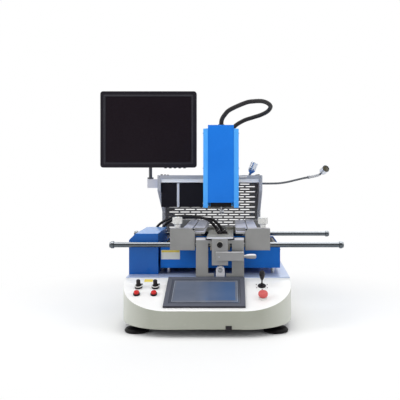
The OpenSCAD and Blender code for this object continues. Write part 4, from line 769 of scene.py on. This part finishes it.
def makeTiles():
    # the plate's top is a trough whose depth is the cosine of the place across the tile, with ripples along it
    low, high = toDesign(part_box("heater_tiles"))
    middle = (low + high) / 2
    u = np.linspace(-1, 1, tiles["cells"])
    across, along = np.meshgrid(u, u, indexing="ij")
    rim = np.clip((1 - np.maximum(abs(across), abs(along))) / tiles["rim"], 0, 1)
    ripples = 1 - tiles["ripple"] * (1 - np.cos(along * tiles["ripples"] * np.pi))
    dish = tiles["dish"] * rim * np.cos(across * np.pi / 2) * ripples
    half = tiles["share"] * tiles["side"] / 2
    face = np.stack([across * half, along * half, -dish], -1).reshape(-1, 3)
    plate = face, gridFaces(tiles["cells"], tiles["cells"], False).tolist()
    shell = roundedSlab(tiles["side"], tiles["side"], tiles["thick"] - tiles["gap"], tiles["corner"], tiles["edge"])
    stemTop = high[2] - low[2] - tiles["thick"] + tiles["stemIn"]
    stem = turned([(tiles["stem"], 0), (tiles["stem"], stemTop)], tiles["stemColumns"])
    stack = ((shell, high[2] - tiles["thick"] - tiles["sink"]), (plate, high[2]), (stem, low[2]))
    columns, rows = ((np.arange(count) - (count - 1) / 2) * tiles["pitch"]
                     for count in (tiles["columns"], tiles["rows"]))
    parts = [placePart(part, (middle[0] + x, middle[1] + y, z)) for x in columns for y in rows for part, z in stack]
    addPiece("heaterTiles", parts, "ceramic", "station", replaced="heater_tiles")


makeTiles()
print("turned pieces made")


# monitor: a sloped rim that lies in the step round the glass

screenRim = {
    "rows": [(8.0, 1.4), (8.0, 0.35), (7.4, 0.1), (4.0, 1.1), (0.9, 2.0), (0.35, 2.5), (0.35, 2.95), (8.0, 1.4)],
    "corner": 1.5, "depth": 3.0,
}


def makeScreenRim():
    # rounded outlines of growing size, each at its depth behind the frame's face, joined into a closed band
    low, high = toDesign(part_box("monitor_screen"))
    wide, tall = high[0] - low[0], high[2] - low[2]
    face = low[1] - screenRim["depth"]
    rings = []
    for past, depth in screenRim["rows"]:
        flat = roundedOutline(wide + 2 * past, tall + 2 * past, screenRim["corner"])
        rings.append(np.column_stack([flat[:, 0], np.full(len(flat), face + depth), flat[:, 1]]))
    verts = np.stack(rings) + [(low[0] + high[0]) / 2, 0, (low[2] + high[2]) / 2]
    part = toRow(verts.reshape(-1, 3)), gridFaces(*verts.shape[:2]).tolist()
    addPiece("screenRim", [part], "rimBlack", "monitor", 20)


makeScreenRim()


# screws, one piece for each kind and body: a place and the way it faces

towardsViewer = (0, -1, 0)
upwards = (0, 0, 1)
bothSides = (-1, 1)
darkScrew = {"kind": "socket", "finish": "boltBlack", "slot": "motor_black"}
paleScrew = {"kind": "dome", "finish": "brightSteel", "slot": "fitting_steel", "body": "station"}
screwSets = {
    "carrierBolt": {**darkScrew, "body": "nozzle_lift_carrier", "radius": 8.6, "height": 7.5,
                    "spots": [((workX, -15.2, 235), towardsViewer)]},
    "lugScrew": {**paleScrew, "kind": "button", "finish": "sleeveAlloy", "radius": 7.2, "height": 6.0,
                 "spots": [((37, 1.7, 157), towardsViewer)]},
    "leverScrews": {**paleScrew, "kind": "socket", "body": "lever", "radius": 3.4, "height": 1.6,
                    "spots": [((34, -22.55, 201), towardsViewer)]},
    "leftSlotEnd": {**darkScrew, "body": "left_clamp", "radius": 2.7, "height": 0.6,
                    "spots": [((workX - 79.4, 14, 277.8), towardsViewer)]},
    "rightSlotEnd": {**darkScrew, "body": "right_clamp", "radius": 2.7, "height": 0.6,
                     "spots": [((workX + 79.4, 14, 277.8), towardsViewer)]},
    "headScrews": {**paleScrew, "body": "head", "radius": 3.2, "height": 2.0,
                   "spots": [((workX + side * 58, y, z), (side, 0, 0)) for side in bothSides for y in (172, 260)
                             for z in (350, 465, 580)]},
    "trayScrews": {**paleScrew, "radius": 3.6, "height": 2.2,
                   "spots": [((workX + side * 185, y, z), (side, 0, 0)) for side in bothSides for y in (74, 211, 348)
                             for z in (168, 210)]},
    "trimScrews": {**paleScrew, "radius": 2.6, "height": 1.5,
                   "spots": [((x, 326, 437), towardsViewer) for x in (-187, 174)] +
                            [((x, 467, z), towardsViewer) for x in (-187, 174) for z in (152, 225, 298)]},
    "plateScrews": {**darkScrew, "body": "station", "radius": 4.2, "height": 3.2,
                    "spots": [((x, y, 443), upwards) for x in (-180, 167) for y in (345, 450, 545)] +
                             [((x, y, 205), (way, 0, 0)) for x, way in ((-193, -1), (180, 1)) for y in (490, 540)]},
}
screwShapes = {"socket": socketScrew, "dome": domeScrew, "button": buttonScrew}
for screwName, look in screwSets.items():
    screw = screwShapes[look["kind"]](look["radius"], look["height"])
    addPiece(screwName, [placePart(screw, spot, basis(way)) for spot, way in look["spots"]], look["finish"],
             look["body"])
print("screws set")


# small panel pieces: rings of the dials and the stop button, dots round the stick, blank stickers, light strips

panelTrim = {
    "dials": [(-199, 51), (-150, 51)], "stop": (159, 105), "columns": 56,
    "ring": [(8.7, 6.0), (10.9, 6.0), (10.9, 7.2), (10.4, 7.7), (8.9, 7.7), (8.7, 7.4), (8.7, 6.0)],
    "skirt": [(11.7, 0.1), (12.4, 0.1), (12.4, 4.4), (11.9, 5.3), (8.8, 5.3), (8.8, 5.1), (11.7, 5.1), (11.7, 0.1)],
    "stick": (159, 44), "dotRing": 18, "dots": 6, "dotColumns": 20,
    "dot": [(1.7, 0.0), (1.7, 0.5), (1.1, 1.0), (0.3, 1.1)],
}
opticsLow = toDesign(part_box("optics_box"))[0]
sticker = {"slot": "white_paint", "body": "station", "way": towardsViewer}
strip = {"finish": "stripAlloy", "slot": "beam_light", "way": towardsViewer}
# each slab is its width, length, thickness, corner and edge
slabs = {
    "panelSticker": {**sticker, "slab": (25, 15, 0.25, 1.5, 0.1), "place": onPanel(-175, 14), "way": panelUp,
                     "finish": "yellowFilm"},
    "traySticker": {**sticker, "slab": (58, 29, 0.3, 1.5, 0.1), "place": (-118, 59.9, 196), "finish": "paleFilm"},
    "stickerBand": {**sticker, "slab": (56, 6.5, 0.1, 0.8, 0.04), "place": (-118, 59.6, 206.5),
                    "finish": "yellowFilm"},
    "plateEdge": {**strip, "slab": (79, 4.2, 0.25, 0.6, 0.1), "place": (workX, -10.35, 254.5),
                  "body": "nozzle_lift_carrier"},
    "opticsStrip": {**strip, "slab": (8.4, 85, 0.5, 0.8, 0.3), "place": opticsLow + (60.5, 0.1, 43), "body": "optics"},
}


def makePanelTrim():
    axes = basis(panelUp)
    ring, skirt = (turned(panelTrim[key], panelTrim["columns"]) for key in ("ring", "skirt"))
    rings = [placePart(ring, onPanel(*spot), axes) for spot in panelTrim["dials"]]
    stickX, stickBack = panelTrim["stick"]
    dots = []
    for turn in (np.arange(panelTrim["dots"]) + 0.5) * 2 * math.pi / panelTrim["dots"]:
        spot = onPanel(stickX + panelTrim["dotRing"] * math.cos(turn),
                       stickBack + panelTrim["dotRing"] * math.sin(turn) * math.cos(panel["slope"]))
        dots.append(placePart(turned(panelTrim["dot"], panelTrim["dotColumns"]), spot, axes))
    addPiece("dialRings", rings, "whiteRing", "station")
    addPiece("stickDots", dots, "blackPlastic", "station")
    addPiece("stopSkirt", [placePart(skirt, onPanel(*panelTrim["stop"]), axes)], "whiteRing", "station")
    for name, look in slabs.items():
        slab = placePart(roundedSlab(*look["slab"]), look["place"], basis(look["way"]))
        addPiece(name, [slab], look["finish"], look["body"])


makePanelTrim()
print("panel trim made")


# construction nodes that show: their finish and the width of their softened edges in millimetres

nodeLooks = {
    "base_shell": ("basePaint", 1.4), "base_pan": ("panSteel", 0.4), "deck_plate": ("deckPaint", 0.7),
    "levelling_feet": ("footRubber", 0.8), "hmi_bezel": ("panelFrame", 1.0), "hmi_screen": ("touchGlass", 0.2),
    "usb_cap": ("blackPlastic", 0.4), "panel_collars": ("blackPlastic", 0.5), "side_cabinet": ("cabinetBlue", 0.7),
    "preheater_tray": ("trayBlue", 0.7), "preheater_posts": ("brightSteel", 0.4), "preheater_grid": ("gridSteel", 0.5),
    "front_bracket": ("greyAlloy", 0.8), "guide_rods": ("rodSteel", 0.8), "rod_holders": ("holderAlloy", 0.6),
    "rod_end_caps": ("rodSteel", 0.4), "stop_lug": ("paleGrey", 1.0), "gantry_shell": ("portalPaint", 0.8),
    "gantry_trim": ("trimGrey", 0.8), "gantry_back_panel": ("ventGrey", 0.0), "optics_beam": ("beamAlloy", 0.5),
    "lift_mount": ("greyAlloy", 0.5), "lift_motor": ("motorBlack", 0.8), "monitor_bracket": ("paleGrey", 1.0),
    "cable_glands": ("blackPlastic", 0.4), "mains_gland": ("blackPlastic", 0.4), "head_housing": ("wingHighlightBlue", 0.7),
    "head_cover": ("headBlue", 0.8), "head_carriage": ("brightSteel", 0.5), "heater_core": ("heaterSteel", 0.6),
    "nozzle_adapter": ("blackPlastic", 0.6), "head_fittings": ("brightSteel", 0.4), "pickup_rod": ("brightSteel", 0.3),
    "optics_box": ("opticsBlack", 0.7), "left_clamp_blocks": ("greyAlloy", 0.8), "left_arm": ("armAlloy", 0.5),
    "right_clamp_blocks": ("greyAlloy", 0.8), "right_arm": ("armAlloy", 0.5), "nozzle_carrier": ("carrierAlloy", 0.6),
    "lower_nozzle": ("brightSteel", 0.5), "lift_lever": ("leverAlloy", 1.8), "joystick_boot": ("blackPlastic", 0.3),
    "joystick": ("glossBlack", 0.3), "estop_button": ("stopRed", 0.8), "red_button_1": ("buttonRed", 0.6),
    "red_button_2": ("buttonRed", 0.6), "dial_knob_1": ("blackPlastic", 0.4), "dial_knob_2": ("blackPlastic", 0.4),
    "monitor_pole": ("darkSteel", 0.5), "monitor_housing": ("monitorBlack", 1.2),
    "monitor_screen": ("screenGlass", 0.2),
}
keepTriangles = ("base_shell",)


def softenNode(name, finish, width):
    # welds the loose triangles, joins flat ones outside keepTriangles, and rounds the sharp edges
    node = nodes[name]
    node.data.materials.clear()
    node.data.materials.append(finishes[finish])
    weld = node.modifiers.new("weld", "WELD")
    weld.merge_threshold = 1e-6
    if name not in keepTriangles:
        flat = node.modifiers.new("flat", "DECIMATE")
        flat.decimate_type = "DISSOLVE"
        flat.angle_limit = math.radians(0.4)
    if width:
        edge = node.modifiers.new("edge", "BEVEL")
        edge.width = width * millimetre
        edge.segments = 2
        edge.limit_method = "ANGLE"
        edge.angle_limit = math.radians(28)
        edge.use_clamp_overlap = False
        edge.loop_slide = False
    normals = node.modifiers.new("normals", "WEIGHTED_NORMAL")
    normals.keep_sharp = False
    normals.weight = 80


for nodeName, (finishName, edgeWidth) in nodeLooks.items():
    softenNode(nodeName, finishName, edgeWidth)
print("nodes finished:", len(nodeLooks))


# studio: pale floor that fades to white, soft lamps and a white surround

studio = {
    "floor": (252, 252, 252), "floorSize": 40.0, "fadeFrom": 0.40, "fadeTo": 0.95, "fill": 0.46,
    "fillColour": (0.98, 0.99, 1.0, 1.0), "white": (1.0, 1.0, 1.0, 1.0),
    "mirrorDark": 0.18, "mirrorFrom": -0.4, "mirrorTo": 0.4,
    "lamps": {
        "overhead": {"place": (0.0, -0.3, 2.3), "aim": (0.0, 0.05, 0.2), "size": (2.4, 2.0), "power": 20},
        "leftSide": {"place": (-2.4, -1.2, 1.5), "aim": (0.0, 0.0, 0.35), "size": (1.3, 1.8), "power": 28},
        "rightSide": {"place": (2.4, -1.2, 1.5), "aim": (0.0, 0.0, 0.35), "size": (1.3, 1.8), "power": 22},
        "rear": {"place": (0.3, 2.2, 1.8), "aim": (0.0, 0.1, 0.4), "size": (2.2, 1.4), "power": 16},
    },
}


def makeSurround():
    # the camera sees white all round, and mirrors see a white back wall and a dim room behind the camera
    world = bpy.data.worlds.new("studio")
    bpy.context.scene.world = world
    world.use_nodes = True
    world.node_tree.nodes.clear()
    t = Tree(world.node_tree)
    room = t.span(t.split(t.source["Generated"])["Y"], studio["mirrorDark"], 1.0, studio["mirrorFrom"],
                  studio["mirrorTo"])
    bright = t.math("MAXIMUM", room, t.add("ShaderNodeLightPath").outputs["Is Camera Ray"])
    fill, white = (t.add("ShaderNodeBackground") for _ in range(2))
    for value, socket in ((studio["fillColour"], fill.inputs["Color"]), (studio["fill"], fill.inputs["Strength"]),
                          (studio["white"], white.inputs["Color"]), (bright, white.inputs["Strength"])):
        t.put(value, socket)
    t.put(t.choose(t.seenDirectly(), fill.outputs[0], white.outputs[0]),
          t.add("ShaderNodeOutputWorld").inputs["Surface"])


def makeFloor():
    # a flat grid of one cell, whose paint turns to white light with the distance from the object
    half = studio["floorSize"] / 2
    u, v = np.meshgrid([-half, half], [-half, half], indexing="ij")
    mesh = bpy.data.meshes.new("floor")
    mesh.from_pydata(np.stack([u, v, 0 * u], -1).reshape(-1, 3), [], [[0, 2, 3, 1]])
    floor = bpy.data.objects.new("floor", mesh)
    bpy.context.scene.collection.objects.link(floor)
    material = bpy.data.materials.new("paleFloor")
    material.use_nodes = True
    material.node_tree.nodes.clear()
    t = Tree(material.node_tree)
    distance = t.add("ShaderNodeVectorMath", operation="LENGTH")
    t.put(t.source["Object"], distance.inputs[0])
    fade = t.span(distance.outputs["Value"], 0.0, 1.0, studio["fadeFrom"], studio["fadeTo"], "SMOOTHSTEP")
    paint, glow = t.add("ShaderNodeBsdfDiffuse"), t.add("ShaderNodeEmission")
    t.put(linear(studio["floor"]), paint.inputs["Color"])
    t.put(t.choose(t.math("MULTIPLY", fade, t.seenDirectly()), paint.outputs[0], glow.outputs[0]),
          t.add("ShaderNodeOutputMaterial").inputs["Surface"])
    mesh.materials.append(material)


def makeLights():
    for name, look in studio["lamps"].items():
        light = bpy.data.lights.new(name, "AREA")
        light.shape = "RECTANGLE"
        light.size, light.size_y = look["size"]
        light.energy = look["power"]
        stand = bpy.data.objects.new(name, light)
        stand.location = look["place"]
        axes = basis(np.array(look["place"]) - np.array(look["aim"]))
        stand.rotation_euler = Matrix(axes.tolist()).to_euler()
        bpy.context.scene.collection.objects.link(stand)


makeSurround()
makeFloor()
makeLights()
print("studio lit")
